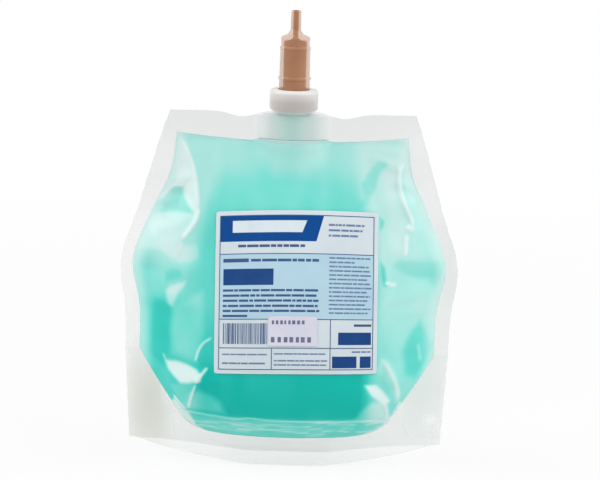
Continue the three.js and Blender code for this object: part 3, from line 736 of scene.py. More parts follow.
def soap_shade(x, z, side):
    """0 where the soap looks pale and 1 where it looks deepest, from its thickness and from painted light:
    lamp reflections, painted highlights along the folds and painted shade.
    """
    middle, left, right = (np.interp(z, *zip(*s)) for s in (MIDDLE_SHADES, LEFT_SHADES, RIGHT_SHADES))
    across = x / soap_half_width(z)
    shade = blend(middle, left, smooth((-across - LEFT_FROM) / SIDE_BLEND))
    shade = blend(shade, right, smooth((across - RIGHT_FROM) / SIDE_BLEND))
    for amount, size, stretch, seed in CLOUDS:
        shade += amount * noise_field(x, z * stretch, size, seed)
    patches, folds = (FRONT_DEPTH_AND_LIGHT_PATCHES, FRONT_FOLDS) if side == FRONT else (BACK_DEPTH_AND_LIGHT_PATCHES, BACK_FOLDS)
    for corners, change, edge in patches:
        shade += change * inside_patch(x, z, corners, edge)
    shade -= base_wrinkle_highlights(x, z) + fold_painted_highlight(x, z, folds)
    edge = smooth((soap_half_width(z) - np.abs(x)) / EDGE_FADE)
    return np.clip(shade * blend(EDGE_SHARE, 1, edge), 0, 1)


def soap_top():
    """The level where the soap ends: the top seal, and higher up inside the spout's foot."""
    x = column_x(SOAP_COLUMNS, SEAL_LEVEL)
    under_spout = smooth((BOAT_HALF_LENGTH + BOAT_EASE / 2 - np.abs(x)) / BOAT_EASE)
    return blend(top_seal_line(x), POUCH_HEIGHT - BOAT_BELOW_EDGE - BOAT_HEIGHT - CLEARANCE, under_spout)


def soap_points(side):
    """One side of the soap: from over the base film's fold out to its weld, then up the wall."""
    foot_x = column_x(SOAP_COLUMNS, 0)
    bottom = bottom_seal_line(foot_x)
    weld_x = column_x(SOAP_COLUMNS, bottom)
    weld_y = side * (wall_depth(weld_x, bottom, side) - CLEARANCE / 2)
    rows = []
    for share in np.linspace(0, 1, RIDGE_ROWS)[:-1]:
        rows.append((weld_x, weld_y * share, blend(gusset_line(foot_x), bottom, share) + CLEARANCE))
    for share in np.linspace(0, 1, BELLY_ROWS + 1):
        z = blend(bottom, soap_top(), share)
        x = column_x(SOAP_COLUMNS, z)
        rows.append((x, side * (wall_depth(x, z, side) - CLEARANCE / 2), z))
    return np.array([swayed(*row) for row in rows])


def soap(material):
    sides = {side: soap_points(side) for side in (FRONT, BACK)}
    points = np.concatenate([grid.reshape(-1, 3) for grid in sides.values()])
    piece = add_mesh("soap_fill", points, closed_faces(*sides[FRONT].shape[:2]))
    shades = [soap_shade(grid[..., 0], grid[..., 2], side).ravel() for side, grid in sides.items()]
    attribute = piece.data.attributes.new("soap_shade", "FLOAT", "POINT")
    attribute.data.foreach_set("value", np.concatenate(shades))
    piece.data.materials.append(material)
    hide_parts("soap")


# Label, sticker and their print
EDGE_STEPS = np.array([0, 0.3, 1])  # places near a sheet's edge
SHEET_STEPS = 50
INK = 0.04  # how far each layer of print lies above the one under it
LABEL_TOP = CLEARANCE + LABEL_THICKNESS
STICKER_FOOT = LABEL_TOP + CLEARANCE
STICKER_CORNER = 1


def label_place(across, up, outset):
    """A point that far outside the front film. Across and up start at the label's lower left corner."""
    across = across - LABEL_WIDTH / 2
    up = up - LABEL_HEIGHT / 2
    x = LABEL_OFFSET + across * math.cos(LABEL_TURN) - up * math.sin(LABEL_TURN)
    bow = LABEL_BOW * (1 - ((x - LABEL_OFFSET) / (LABEL_WIDTH / 2)) ** 2)
    z = LABEL_MIDDLE + across * math.sin(LABEL_TURN) + up * math.cos(LABEL_TURN) + bow
    return swayed(x, -(wall_depth(x, z, FRONT) + FILM + outset), z)


def sheet_steps(length, corner):
    middle = np.linspace(corner, length - corner, SHEET_STEPS)[1:-1]
    return np.concatenate([EDGE_STEPS, middle, length - EDGE_STEPS[::-1]])


def rounded_sheet(name, left, low, width, height, corner, foot, thickness):
    """A thin closed sheet with rounded corners that follows the front wall."""
    across, up = np.meshgrid(sheet_steps(width, corner), sheet_steps(height, corner))
    side = np.clip(np.abs(across - width / 2) - (width / 2 - corner), 0, corner)
    above = np.clip(np.abs(up - height / 2) - (height / 2 - corner), 0, corner)
    pull = np.maximum(side, above) / np.maximum(np.hypot(side, above), 1e-6)
    across = across - np.sign(across - width / 2) * side * (1 - pull)
    up = up - np.sign(up - height / 2) * above * (1 - pull)
    faces = [label_place(left + across, low + up, foot + out).reshape(-1, 3) for out in (thickness, 0)]
    return add_mesh(name, np.concatenate(faces), closed_faces(*across.shape))


def bar_points(left, low, right, high, slant, outset):
    columns = max(2, int((right - left) / BAR_STEP_ACROSS) + 2)
    rows = max(2, int((high - low) / BAR_STEP_UP) + 2)
    across, up = np.meshgrid(np.linspace(left, right, columns), np.linspace(low, high, rows))
    share = (across - left) / (right - left)
    across = across + slant * share * (up - low) / (high - low)
    return label_place(across, up, outset), rows, columns


def print_layer(name, bars, outset, material):
    """One layer of print: plain bars, given by two corners and a slant, just above the paper."""
    points = []
    faces = []
    count = 0
    for left, low, right, high, *slant in bars:
        places, rows, columns = bar_points(left, low, right, high, sum(slant), outset)
        points.append(places.reshape(-1, 3))
        faces += grid_faces(rows, columns, count)
        count += rows * columns
    piece = add_mesh(name, np.concatenate(points), faces)
    piece.data.materials.append(material)


def word_bars(rng, left, right, middle, height, word):
    """A line of print as short bars of uneven length."""
    bars = []
    at = left
    while at < right - word[0] / 2:
        end = min(at + rng.uniform(*word), right)
        bars.append((at, middle - height / 2, end, middle + height / 2))
        at = end + height * rng.uniform(*WORD_GAP)
    return bars


def stripe_bars(rng, left, low, right, high):
    """Upright stripes of uneven width and spacing."""
    bars = []
    at = left
    while at < right:
        wide = rng.choice(STRIPE_WIDTHS)
        bars.append((at, low, min(at + wide, right), high))
        at += wide + rng.choice(STRIPE_GAPS)
    return bars


def outline_bars(left, low, right, high, line):
    return [
        (left, low, right, low + line),
        (left, high - line, right, high),
        (left, low + line, left + line, high - line),
        (right - line, low + line, right, high - line),
    ]


# Layout of the label, from its lower left corner
BAR_STEP_ACROSS = 2.5
BAR_STEP_UP = 4
WORD_GAP = (0.35, 0.6)  # between two words, as a share of their height
FRAME_IN = 2.2
LINE = 0.42
BAND_LOW = 68.5
BAND_RIGHT = 53.5
BAND_SLANT = 4
FIELD_HIGH = 62
FIELD_LOW = 28.5
CELL_LINE = 13.5
CODE_LEFT = 61.3
CELL_LEFT = 30.3
BAND_MARK = (9, 73, 46, 79, 2.5)
HEAVY_WORDS = [
    (4.4, 46.3, 31, 54.6), (65.7, 15.5, 83.2, 22), (62.6, 3.3, 75.6, 9.4), (77.4, 3.3, 83.2, 9.4),
]
STRIPES = (4.6, 15.8, 28, 26.6)
STRIPE_WIDTHS = [0.28, 0.28, 0.5, 0.75]
STRIPE_GAPS = [0.28, 0.45, 0.6]
PRINT_SEED = 7
STAMP_SEED = 3
# Lines of print: left, right, height of the middle, thickness, and shortest and longest word
BOLD_LINES = [
    (12, 47.5, 66.2, 1.3, (2.5, 8)),
    (4.3, 17.8, 58.9, 1.9, (13, 14)),
    (19, 55, 58.9, 1.4, (1.5, 8)),
    *[(4.3, 55, height, 1.15, (1.5, 9)) for height in (43.6, 40.9, 38.3, 35.6)],
    (4.3, 55.5, 33, 1.15, (1.5, 9)),
    (4.3, 18, 30.4, 1.15, (13, 14)),
    (74, 84, 25.7, 1.2, (9, 10)),
]
PLAIN_LINES = [
    (60, 79, 77, 1, (1.2, 7)),
    (60, 78, 74.3, 1, (1.2, 7)),
    (60, 76.5, 71.6, 1, (1.2, 7)),
    (73, 83, 11.8, 0.8, (2, 5)),
    (4.3, 28, 10.3, 0.7, (1.5, 6)),
    (4.3, 28, 5.6, 0.9, (1.5, 9)),
    (31.8, 60, 10.7, 0.7, (1.2, 5)),
    (31.8, 60, 7.1, 0.7, (1.2, 5)),
    (31.8, 60, 4.9, 0.7, (1.2, 5)),
]
STAMP_LINES = [(2, 20.5, 12.4, 2, (1, 1.7)), (1.6, 24.5, 3.4, 2.8, (1.4, 2.2))]
COLUMN_LEFT = 60.5
COLUMN_TOP = 60.3
COLUMN_STEP = 2.17
COLUMN_RIGHTS = [82.6, 74, 81.5, 82, 83, 81.4, 82.2, 83.1, 80.5, 82.4, 81, 79.8, 82.8, 81.2]
COLUMN_LINES = [
    (COLUMN_LEFT, right, COLUMN_TOP - COLUMN_STEP * row, 0.8, (1, 6))
    for row, right in enumerate(COLUMN_RIGHTS)
]


def line_bars(right, high):
    """The lines round the label and between its cells."""
    bars = outline_bars(FRAME_IN, FRAME_IN, right, high, LINE)
    bars += [(FRAME_IN, level, right, level + LINE) for level in (FIELD_HIGH, FIELD_LOW, CELL_LINE)]
    bars.append((CODE_LEFT, FRAME_IN, CODE_LEFT + LINE, FIELD_LOW))
    bars.append((CELL_LEFT, FRAME_IN, CELL_LEFT + LINE, CELL_LINE))
    return bars


def label_print(materials):
    """Every layer of print: its name, its bars, its level above the paper and its ink."""
    rng = random.Random(PRINT_SEED)
    right = LABEL_WIDTH - FRAME_IN
    high = LABEL_HEIGHT - FRAME_IN
    bold = [bar for line in BOLD_LINES for bar in word_bars(rng, *line)]
    plain = [bar for line in PLAIN_LINES + COLUMN_LINES for bar in word_bars(rng, *line)]
    layers = [
        ("label_field", [(FRAME_IN, FIELD_LOW, right, FIELD_HIGH)], 1, "print_pale_blue"),
        ("label_band", [(FRAME_IN, BAND_LOW, BAND_RIGHT, high, BAND_SLANT)], 1, "print_blue"),
        ("label_lines", line_bars(right, high), 2, "print_line"),
        ("label_words", bold, 2, "print_line"),
        ("label_small_words", plain, 2, "small_print"),
        ("label_heavy_words", HEAVY_WORDS, 2, "print_dark_blue"),
        ("label_band_mark", [BAND_MARK], 2, "print_white"),
        ("label_stripes", stripe_bars(rng, *STRIPES), 2, "print_line"),
    ]
    for name, bars, level, ink in layers:
        print_layer(name, bars, LABEL_TOP + level * INK, materials[ink])


def label(materials):
    sizes = (LABEL_WIDTH, LABEL_HEIGHT, LABEL_CORNER, CLEARANCE, LABEL_THICKNESS)
    sheet = rounded_sheet("label_sheet", 0, 0, *sizes)
    sheet.data.materials.append(materials["label_paper"])
    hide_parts("label")
    label_print(materials)


def date_sticker(materials):
    left = STICKER_ACROSS - STICKER_WIDTH / 2
    low = STICKER_UP - STICKER_HEIGHT / 2
    sizes = (STICKER_WIDTH, STICKER_HEIGHT, STICKER_CORNER, STICKER_FOOT, STICKER_THICKNESS)
    sheet = rounded_sheet("date_label", left, low, *sizes)
    sheet.data.materials.append(materials["sticker_paper"])
    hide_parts("date_sticker")
    rng = random.Random(STAMP_SEED)
    stamp = []
    for start, end, middle, height, word in STAMP_LINES:
        stamp += word_bars(rng, left + start, left + end, low + middle, height, word)
    print_layer("date_stamp", stamp, STICKER_FOOT + STICKER_THICKNESS + INK, materials["stamp_ink"])


# Collar and nozzle
TURN_SEGMENTS = 96
EASE = 0.3  # how far each corner of a turned part is rounded off
EASE_STEPS = 3
EASE_SHARE = 0.45  # most of an edge that a rounded corner may take
COLLAR_STEPS = 7
SHOULDER_EASE = 0.6
SHOULDER_CONE = 1.2
SHOULDER_OUT = 1.5
TIP_FLARE = (0.15, 3.4)  # how far the tip's foot stands out, and how high above the shoulder it ends
TIP_EASE = 0.3
SPRING_STEPS = 36  # to a turn
WIRE_SEGMENTS = 12


def eased(profile):
    """The same closed profile with its corners rounded off."""
    points = np.array(profile, float)
    rounded = []
    for before, corner, after in zip(np.roll(points, 1, axis=0), points, np.roll(points, -1, axis=0)):
        ways = [before - corner, after - corner]
        start, end = (corner + way * min(EASE / np.linalg.norm(way), EASE_SHARE) for way in ways)
        for share in np.linspace(0, 1, EASE_STEPS + 1):
            rounded.append(blend(blend(start, corner, share), blend(corner, end, share), share))
    return rounded


def wrapped_faces(rows, columns, ends):
    """The squares of a grid that closes on itself round its columns and, if asked, its rows."""
    corner = np.arange(rows * columns).reshape(rows, columns)
    corner = np.pad(corner, ((0, ends), (0, 1)), mode="wrap")
    ring = [corner[:-1, :-1], corner[1:, :-1], corner[1:, 1:], corner[:-1, 1:]]
    return np.stack(ring, axis=-1).reshape(-1, 4).tolist()


def turned(name, profile, node, slot, material):
    """A closed ring turned round the pack's upright axis from a profile of radius and height."""
    radius, height = np.array(eased(profile)).T
    angle = np.linspace(0, 2 * math.pi, TURN_SEGMENTS, endpoint=False)[:, None]
    points = grid_points(np.cos(angle) * radius, np.sin(angle) * radius, height)
    piece = add_mesh(name, points, wrapped_faces(*points.shape[:2], ends=1))
    piece.data.materials.append(material)
    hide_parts(node)
    return piece


def collar(material):
    outside = [(COLLAR_TAPER_RADIUS, COLLAR_FOOT), (COLLAR_RADIUS, COLLAR_FOOT + COLLAR_TAPER)]
    for angle in np.linspace(0, math.pi / 2, COLLAR_STEPS):
        out = COLLAR_RADIUS - COLLAR_ROUND * (1 - math.cos(angle))
        outside.append((out, COLLAR_END - COLLAR_ROUND * (1 - math.sin(angle))))
    lip = COLLAR_FOOT + COLLAR_LIP
    bore = TUBE_RADIUS + CLEARANCE
    inside = [(bore, COLLAR_END), (bore, COLLAR_PLATE), (COLLAR_BORE, COLLAR_PLATE)]
    inside += [(COLLAR_BORE, lip), (COLLAR_NECK, lip), (COLLAR_NECK, COLLAR_FOOT)]
    turned("screw_collar", outside + inside, "collar", "clear_plastic", material)


def ring_profile(middle, below, proud, above):
    """A low band round the tube, between the radii just below and above it."""
    half = RING_HEIGHT / 2
    flat = half * RING_FLAT
    return [(below, middle - half), (proud, middle - flat), (proud, middle + flat), (above, middle + half)]


def nozzle_outside():
    """The tube's outer profile, from its flange up to its tip."""
    neck = SHOULDER_RADIUS - NECK_IN
    flare, flare_up = TIP_FLARE
    return [
        (FLANGE_RADIUS, NOZZLE_FOOT),
        (FLANGE_RADIUS, FLANGE_TOP),
        (TUBE_RADIUS, FLANGE_TOP),
        *ring_profile(LOWER_RING, TUBE_RADIUS, TUBE_RADIUS + RING_PROUD, TUBE_RADIUS - RING_STEP),
        *ring_profile(UPPER_RING, TUBE_TOP_RADIUS, TUBE_TOP_RADIUS + RING_PROUD / 2, neck),
        (neck, SHOULDER_FOOT),
        (SHOULDER_RADIUS, SHOULDER_FOOT + TIP_EASE),
        (SHOULDER_RADIUS, SHOULDER_TOP - SHOULDER_EASE),
        (SHOULDER_RADIUS - SHOULDER_EASE, SHOULDER_TOP),
        (TIP_RADIUS + SHOULDER_OUT, SHOULDER_TOP + SHOULDER_CONE),
        (TIP_RADIUS + flare, SHOULDER_TOP + flare_up),
        (TIP_RADIUS, TIP_TOP - TIP_EASE),
        (TIP_RADIUS - TIP_EASE, TIP_TOP),
    ]


def nozzle(skin, core):
    """The rubber tube, whose half clear wall shows its bore, coloured darker as painted shade inside the
    tube.
    """
    outside = nozzle_outside()
    piece = turned("nozzle", outside + NOZZLE_BORE, "nozzle_tube", "tan_rubber", skin)
    piece.data.materials.append(core)
    points = EASE_STEPS + 1
    finish = np.zeros((TURN_SEGMENTS, len(outside + NOZZLE_BORE) * points), int)
    finish[:, len(outside) * points - 1 :] = 1
    piece.data.polygons.foreach_set("material_index", finish.ravel())


def spring(material):
    """The spring over the outlet ball."""
    share = np.linspace(0, 1, round(SPRING_TURNS * SPRING_STEPS) + 1)[:, None]
    turn = share * SPRING_TURNS * 2 * math.pi
    wire = SPRING_WIRE / 2
    around_wire = np.linspace(0, 2 * math.pi, WIRE_SEGMENTS, endpoint=False)
    out = SPRING_RADIUS + wire * np.cos(around_wire)
    height = blend(SPRING_FOOT + wire, SPRING_TOP - wire, share) + wire * np.sin(around_wire)
    points = grid_points(np.cos(turn) * out, np.sin(turn) * out, height)
    first = list(range(WIRE_SEGMENTS))
    last = [len(points) * WIRE_SEGMENTS - 1 - point for point in first]
    faces = wrapped_faces(*points.shape[:2], ends=0) + [first, last]
    piece = add_mesh("valve_spring", points, faces, body=None)
    piece.data.materials.append(material)
    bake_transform(piece)
    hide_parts("outlet_spring")


# Materials
def add_node(tree, kind, links=None, values=None, **settings):
    """A shader node with some inputs linked to their sources and some set to values."""
    node = tree.nodes.new("ShaderNode" + kind)
    for name, value in settings.items():
        setattr(node, name, value)
    for name, source in (links or {}).items():
        tree.links.new(source, node.inputs[name])
    for name, value in (values or {}).items():
        node.inputs[name].default_value = value
    return node


def new_material(name, values):
    """A material, its node tree and its shader, with these values on the shader's own sockets."""
    material = bpy.data.materials.new(name)
    material.use_nodes = True
    tree = material.node_tree
    shader = tree.nodes["Principled BSDF"]
    for socket, value in values.items():
        shader.inputs[socket].default_value = value
    return material, tree, shader


def object_place(tree):
    return add_node(tree, "TexCoord").outputs["Object"]


def add_noise(tree, scale, detail=4):
    """Soft random values from 0 to 1, with about that many lumps to the metre."""
    texture = add_node(tree, "TexNoise", {"Vector": object_place(tree)}, {"Scale": scale, "Detail": detail})
    return texture.outputs["Fac"]


def add_ramp(tree, source, tints):
    """Colours along a share from 0 to 1. Each tint is a place and a colour as it is seen."""
    ramp = add_node(tree, "ValToRGB", {"Fac": source})
    elements = ramp.color_ramp.elements
    while len(elements) < len(tints):
        elements.new(0.5)
    for element, (place, tint) in zip(elements, tints):
        element.position = place
        element.color = (*srgb(*tint), 1)
    return ramp.outputs["Color"]


def add_bump(tree, shader, height, depth, strength=0.5):
    """Fine relief, with its depth in millimetres."""
    bump = add_node(tree, "Bump", {"Height": height}, {"Distance": depth * MM, "Strength": strength})
    tree.links.new(bump.outputs["Normal"], shader.inputs["Normal"])


def srgb(red, green, blue):
    """A colour given as it is seen, 0 to 255, as the linear numbers that a shader takes."""
    shares = [value / 255 for value in (red, green, blue)]
    return tuple(s / 12.92 if s <= 0.04045 else ((s + 0.055) / 1.055) ** 2.4 for s in shares)


def mottled(name, light, dark, lumps, grain, depth, values):
    """A surface whose colour drifts a little and whose fine grain catches the light."""
    material, tree, shader = new_material(name, values)
    colour = add_ramp(tree, add_noise(tree, lumps), [(0.3, dark), (0.7, light)])
    tree.links.new(colour, shader.inputs["Base Color"])
    add_bump(tree, shader, add_noise(tree, grain, detail=6), depth)
    return material


def axis_share(tree, axis, low, high):
    """How far a place lies from one level to another along an axis, from 0 to 1."""
    parts = add_node(tree, "SeparateXYZ", {0: object_place(tree)})
    levels = {"From Min": low * MM, "From Max": high * MM}
    return add_node(tree, "MapRange", {"Value": parts.outputs[axis]}, levels).outputs[0]


def uneven(tree, share, drift):
    """The same share, made larger and smaller in soft lumps."""
    lumps = add_node(tree, "MapRange", {"Value": add_noise(tree, 28)}, {"To Min": -drift, "To Max": drift})
    return add_node(tree, "Math", {0: share, 1: lumps.outputs[0]}).outputs[0]


def add_spot(tree, colour, middle, reach, spot):
    """Mixes another colour in round a point, given with its reach in millimetres."""
    middle, reach = ([value * MM for value in values] for values in (middle, reach))
    offset = add_node(tree, "VectorMath", {0: object_place(tree)}, {1: middle}, operation="SUBTRACT")
    scaled = add_node(tree, "VectorMath", {0: offset.outputs[0]}, {1: reach}, operation="DIVIDE")
    far = add_node(tree, "VectorMath", {0: scaled.outputs[0]}, operation="LENGTH").outputs["Value"]
    fall = {"To Min": 1, "To Max": 0}
    share = add_node(tree, "MapRange", {"Value": far}, fall, interpolation_type="SMOOTHSTEP").outputs[0]
    colours = {"Factor": share, "A": colour}
    mix = add_node(tree, "Mix", colours, {"B": (*srgb(*spot), 1)}, data_type="RGBA")
    return mix.outputs["Result"]


PAPER_GRAIN = 900
# Papers and inks: their light and dark colour, lumps to the metre, depth of grain, roughness, gloss
PAPERS = [
    ("label_paper", (216, 226, 231), (207, 219, 226), 40, 0.08, 0.45, 0.2),
    ("sticker_paper", (222, 221, 234), (212, 212, 229), 60, 0.08, 0.45, 0.2),
    ("print_pale_blue", (186, 216, 230), (177, 209, 226), 40, 0.06, 0.45, 0.2),
    ("print_blue", (0, 74, 146), (0, 68, 138), 40, 0.06, 0.4, 0.1),
    ("print_dark_blue", (20, 72, 134), (10, 60, 122), 60, 0.06, 0.45, 0.2),
    ("print_line", (66, 94, 142), (54, 82, 132), 60, 0.06, 0.45, 0.2),
    ("small_print", (112, 134, 170), (98, 122, 162), 60, 0.06, 0.45, 0.2),
    ("print_white", (222, 232, 238), (210, 224, 232), 60, 0.06, 0.45, 0.2),
    ("stamp_ink", (122, 118, 150), (104, 100, 136), 300, 0.06, 0.5, 0.2),
]
# The soap's colours along its shade, from pale to deep: from where the pouch is thin or painted highlights
# and reflections fall, to where it is thick or lies in painted shade
SOAP_TINTS = [
    (0, (224, 242, 240)), (0.25, (176, 234, 227)), (0.5, (122, 224, 213)), (0.75, (62, 208, 195)),
    (1, (0, 188, 175)),
]
# Tints of the milky film from the floor up are painted light: whiter low down, against the shade under the
# belly, and greyer up along the top seal. Then spots with their middle and reach
FILM_LIT_TINTS = [
    (0, (252, 254, 252)), (0.16, (250, 252, 249)), (0.33, (248, 249, 244)), (0.6, (250, 249, 247)),
    (0.8, (228, 229, 229)), (1, (208, 212, 212)),
]
FILM_SPOTS = [
    ((-73, 0, 30), (19, 900, 48), (172, 177, 142)),
    # Painted highlights: white spots along the left corner weld's diagonal
    ((-61, 0, 37), (9, 900, 11), (255, 255, 252)),
    ((-54, 0, 22), (12, 900, 10), (255, 255, 252)),
    ((74, 0, 42), (21, 900, 46), (212, 229, 222)),
    ((88, 0, 112), (22, 900, 100), (212, 221, 219)),
    ((79, 0, 24), (7, 900, 5), (255, 255, 255)),
]
WINDOW_TINTS = [(0, (60, 204, 190)), (1, (150, 226, 216))]
# Colours along the spout, teal over its bore and milky towards its thin ends, and up the collar,
# which is darker low down where the nozzle's flange shows through
SPOUT_TINTS = [
    (0, (250, 252, 251)), (0.08, (244, 249, 248)), (0.2, (222, 235, 231)), (0.36, (192, 230, 222)),
    (0.5, (177, 225, 216)), (0.62, (199, 230, 223)), (0.78, (216, 232, 228)), (1, (250, 252, 251)),
]
COLLAR_TINTS = [
    (0, (214, 212, 210)), (0.2, (182, 174, 170)), (0.5, (186, 178, 174)), (0.85, (214, 211, 210)),
    (1, (228, 226, 226)),
]
# Half clear soft rubber, whose edges look paler than its middle, and its core, a darker copy of the same
# rubber that is painted shade inside the tube
SKIN = {
    "Alpha": 0.47,
    "Roughness": 0.5,
    "Sheen Weight": 1,
    "Sheen Roughness": 0.42,
    "Sheen Tint": (1, 0.93, 0.85, 1),
    "Coat Weight": 0.8,
    "Coat Roughness": 0.35,
}
SHADED_CORE = {"Roughness": 0.5, "Specular IOR Level": 0.3}
VALVE = {"Roughness": 0.35}
STEEL = {"Roughness": 0.22, "Metallic": 1}


def tinted(name, tints, axis, low, high, drift, grain, depth, values, spots=()):
    """A surface with tints along an axis, a little uneven, and with spots of other colours."""
    material, tree, shader = new_material(name, values)
    colour = add_ramp(tree, uneven(tree, axis_share(tree, axis, low, high), drift), tints)
    for spot in spots:
        colour = add_spot(tree, colour, *spot)
    tree.links.new(colour, shader.inputs["Base Color"])
    add_bump(tree, shader, add_noise(tree, grain), depth)
    return material


def film_material(name, tints, spots, alpha):
    values = {"Roughness": 0.3, "Alpha": alpha}
    height = ("Z", 0, POUCH_HEIGHT)
    return tinted(name, tints, *height, drift=0.05, grain=260, depth=0.3, values=values, spots=spots)


def milky_material(name, tints, axis, low, high, sheen):
    values = {"Roughness": 0.32, "Sheen Weight": sheen, "Sheen Roughness": 0.5}
    return tinted(name, tints, axis, low, high, drift=0.02, grain=300, depth=0.2, values=values)


def soap_material(name):
    material, tree, shader = new_material(name, {"Roughness": 0.08, "Specular IOR Level": 0.12})
    shade = add_node(tree, "Attribute", attribute_name="soap_shade").outputs["Fac"]
    tree.links.new(add_ramp(tree, shade, SOAP_TINTS), shader.inputs["Base Color"])
    add_bump(tree, shader, add_noise(tree, 70, detail=2), 0.4, 0.4)
    return material


def make_materials():
    """Every material, by name. Mottled ones state their lumps and grains to the metre, and a depth."""
    ends = (-BOAT_HALF_LENGTH, BOAT_HALF_LENGTH)
    rows = [
        (film_material, "film_seal", FILM_LIT_TINTS, FILM_SPOTS, 0.27),
        (film_material, "film_window", WINDOW_TINTS, [], 0.03),
        (film_material, "film_base", FILM_LIT_TINTS, [], 0.04),
        (soap_material, "soap_teal"),
        (milky_material, "spout_plastic", SPOUT_TINTS, "X", *ends, 0),
        (milky_material, "collar_plastic", COLLAR_TINTS, "Z", COLLAR_FOOT, COLLAR_END, 1),
        (mottled, "nozzle_rubber", (212, 156, 112), (204, 148, 105), 120, 1200, 0.2, SKIN),
        (mottled, "nozzle_core", (140, 84, 56), (132, 78, 52), 120, 1200, 0.2, SHADED_CORE),
        (mottled, "valve_plastic", (240, 240, 236), (228, 230, 226), 150, 900, 0.1, VALVE),
        (mottled, "valve_steel", (206.4, 207.9, 210.8), (190.8, 192.5, 197.3), 400, 2500, 0.04, STEEL),
    ]
    for name, light, dark, lumps, depth, roughness, gloss in PAPERS:
        values = {"Roughness": roughness, "Specular IOR Level": gloss}
        rows.append((mottled, name, light, dark, lumps, PAPER_GRAIN, depth, values))
    return {name: make(name, *rest) for make, name, *rest in rows}


def dress_nodes(nodes, names, material):
    """Gives carried CAD pieces their finish."""
    for name in names:
        mesh = nodes[name].data
        mesh.materials.clear()
        mesh.materials.append(material)


# Stage: floor, lights and camera
WHITE = (1, 1, 1, 1)
WORLD_LIGHT = 0.36
FLOOR_SIZE = 30
FLOOR_TINT = (0.86, 0.86, 0.86, 1)
FLOOR_NEAR = 0.25  # from the pack, where the floor's shading starts to fade into the background
FLOOR_FAR = 0.9
FLOOR_GLOW = 0.88  # share of plain white in the floor near the pack, the rest takes its shadow


def seen_rays(tree):
    """1 for rays from the camera and for what gloss and glass show, 0 for the light on the pack."""
    rays = add_node(tree, "LightPath")
    total = rays.outputs["Is Camera Ray"]
    for kind in ("Is Glossy Ray", "Is Transmission Ray"):
        total = add_node(tree, "Math", {0: total, 1: rays.outputs[kind]}, use_clamp=True).outputs[0]
    return total


def mix_shaders(tree, share, first, second, output):
    """Shows the first shader, and the second one as far as the share says."""
    mix = add_node(tree, "MixShader", {0: share, 1: first.outputs[0], 2: second.outputs[0]})
    tree.links.new(mix.outputs[0], tree.nodes[output].inputs["Surface"])


def make_floor():
    bpy.ops.mesh.primitive_plane_add(size=FLOOR_SIZE)
    floor = bpy.context.object
    floor.name = "floor"
    values = {"Base Color": FLOOR_TINT, "Roughness": 1, "Specular IOR Level": 0}
    material, tree, shader = new_material("floor_white", values)
    far = add_node(tree, "VectorMath", {0: object_place(tree)}, operation="LENGTH").outputs["Value"]
    levels = {"From Min": FLOOR_NEAR, "From Max": FLOOR_FAR, "To Min": FLOOR_GLOW}
    fade = add_node(tree, "MapRange", {"Value": far}, levels).outputs[0]
    share = add_node(tree, "Math", {0: fade, 1: seen_rays(tree)}, operation="MULTIPLY").outputs[0]
    mix_shaders(tree, share, shader, add_node(tree, "Emission"), "Material Output")
    floor.data.materials.append(material)


def make_world():
    """Plain white where it is seen, and a softer light on the pack."""
    world = bpy.data.worlds.new("studio")
    bpy.context.scene.world = world
    world.use_nodes = True
    tree = world.node_tree
    lit = tree.nodes["Background"]
    lit.inputs["Color"].default_value = WHITE
    lit.inputs["Strength"].default_value = WORLD_LIGHT
    seen = add_node(tree, "Background", values={"Color": WHITE, "Strength": 1})
    mix_shaders(tree, seen_rays(tree), lit, seen, "World Output")


AIM = Vector((0.0054, 0, 0.1212))
CAMERA_ELEVATION = 10.5
CAMERA_DISTANCE = 1.6
CAMERA_ROLL = 1.65
CAMERA_REACH = 50
SENSOR_WIDTH = 36
VIEW_WIDTH = 0.3228  # width of the picture at the pack
# Softboxes: azimuth and elevation in degrees, distance, width, height and power
SOFTBOXES = [
    ("softbox_right", 78, 40, 1.2, 1.4, 0.75, 10),
    ("softbox_left", -88, 36, 1.2, 0.9, 0.8, 7.8),
    ("softbox_front", -15, 38, 1.8, 1.2, 1, 6),
]


def around(azimuth, elevation, distance):
    """A place round the pack: azimuth from the front towards the right, in degrees."""
    azimuth, elevation = math.radians(azimuth), math.radians(elevation)
    flat = math.cos(elevation)
    direction = Vector((math.sin(azimuth) * flat, -math.cos(azimuth) * flat, math.sin(elevation)))
    return AIM + direction * distance


def facing_pack(place):
    return (AIM - place).to_track_quat("-Z", "Y")


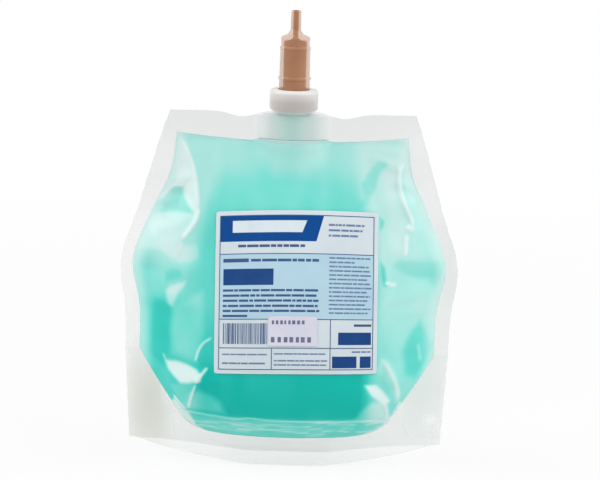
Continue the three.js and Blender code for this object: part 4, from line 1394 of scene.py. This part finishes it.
def add_softbox(name, azimuth, elevation, distance, width, height, power):
    light = bpy.data.lights.new(name, "AREA")
    light.shape = "RECTANGLE"
    light.size = width
    light.size_y = height
    light.energy = power
    lamp = bpy.data.objects.new(name, light)
    lamp.location = around(azimuth, elevation, distance)
    lamp.rotation_euler = facing_pack(lamp.location).to_euler()
    bpy.context.scene.collection.objects.link(lamp)


def make_camera():
    data = bpy.data.cameras.new("camera")
    camera = bpy.data.objects.new("camera", data)
    bpy.context.scene.collection.objects.link(camera)
    camera.location = around(0, CAMERA_ELEVATION, CAMERA_DISTANCE)
    roll = Matrix.Rotation(math.radians(CAMERA_ROLL), 3, "Z")
    camera.rotation_euler = (facing_pack(camera.location).to_matrix() @ roll).to_euler()
    data.sensor_width = SENSOR_WIDTH
    data.lens = SENSOR_WIDTH * CAMERA_DISTANCE / VIEW_WIDTH
    data.clip_end = CAMERA_REACH
    bpy.context.scene.camera = camera


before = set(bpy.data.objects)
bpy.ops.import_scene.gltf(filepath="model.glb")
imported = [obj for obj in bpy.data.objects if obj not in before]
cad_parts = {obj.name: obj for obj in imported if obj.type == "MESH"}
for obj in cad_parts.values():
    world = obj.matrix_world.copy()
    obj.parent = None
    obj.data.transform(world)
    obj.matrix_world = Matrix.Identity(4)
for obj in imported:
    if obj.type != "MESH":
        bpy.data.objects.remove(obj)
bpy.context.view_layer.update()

bpy.context.scene.view_settings.view_transform = "Standard"
make_floor()
make_world()
for softbox in SOFTBOXES:
    add_softbox(*softbox)
make_camera()

materials = make_materials()
film_wall("front_wall", "front_film", FRONT, materials)
film_wall("back_wall", "back_film", BACK, materials)
gusset(materials["film_base"])
soap(materials["soap_teal"])
label(materials)
date_sticker(materials)
dress_nodes(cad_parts, ["spout"], materials["spout_plastic"])
collar(materials["collar_plastic"])
nozzle(materials["nozzle_rubber"], materials["nozzle_core"])
turned("outlet_seat", OUTLET_SEAT, "outlet_valve", "valve_plastic", materials["valve_plastic"])
dress_nodes(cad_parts, ["inlet_valve"], materials["valve_plastic"])
dress_nodes(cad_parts, ["inlet_ball", "outlet_ball"], materials["valve_steel"])
spring(materials["valve_steel"])
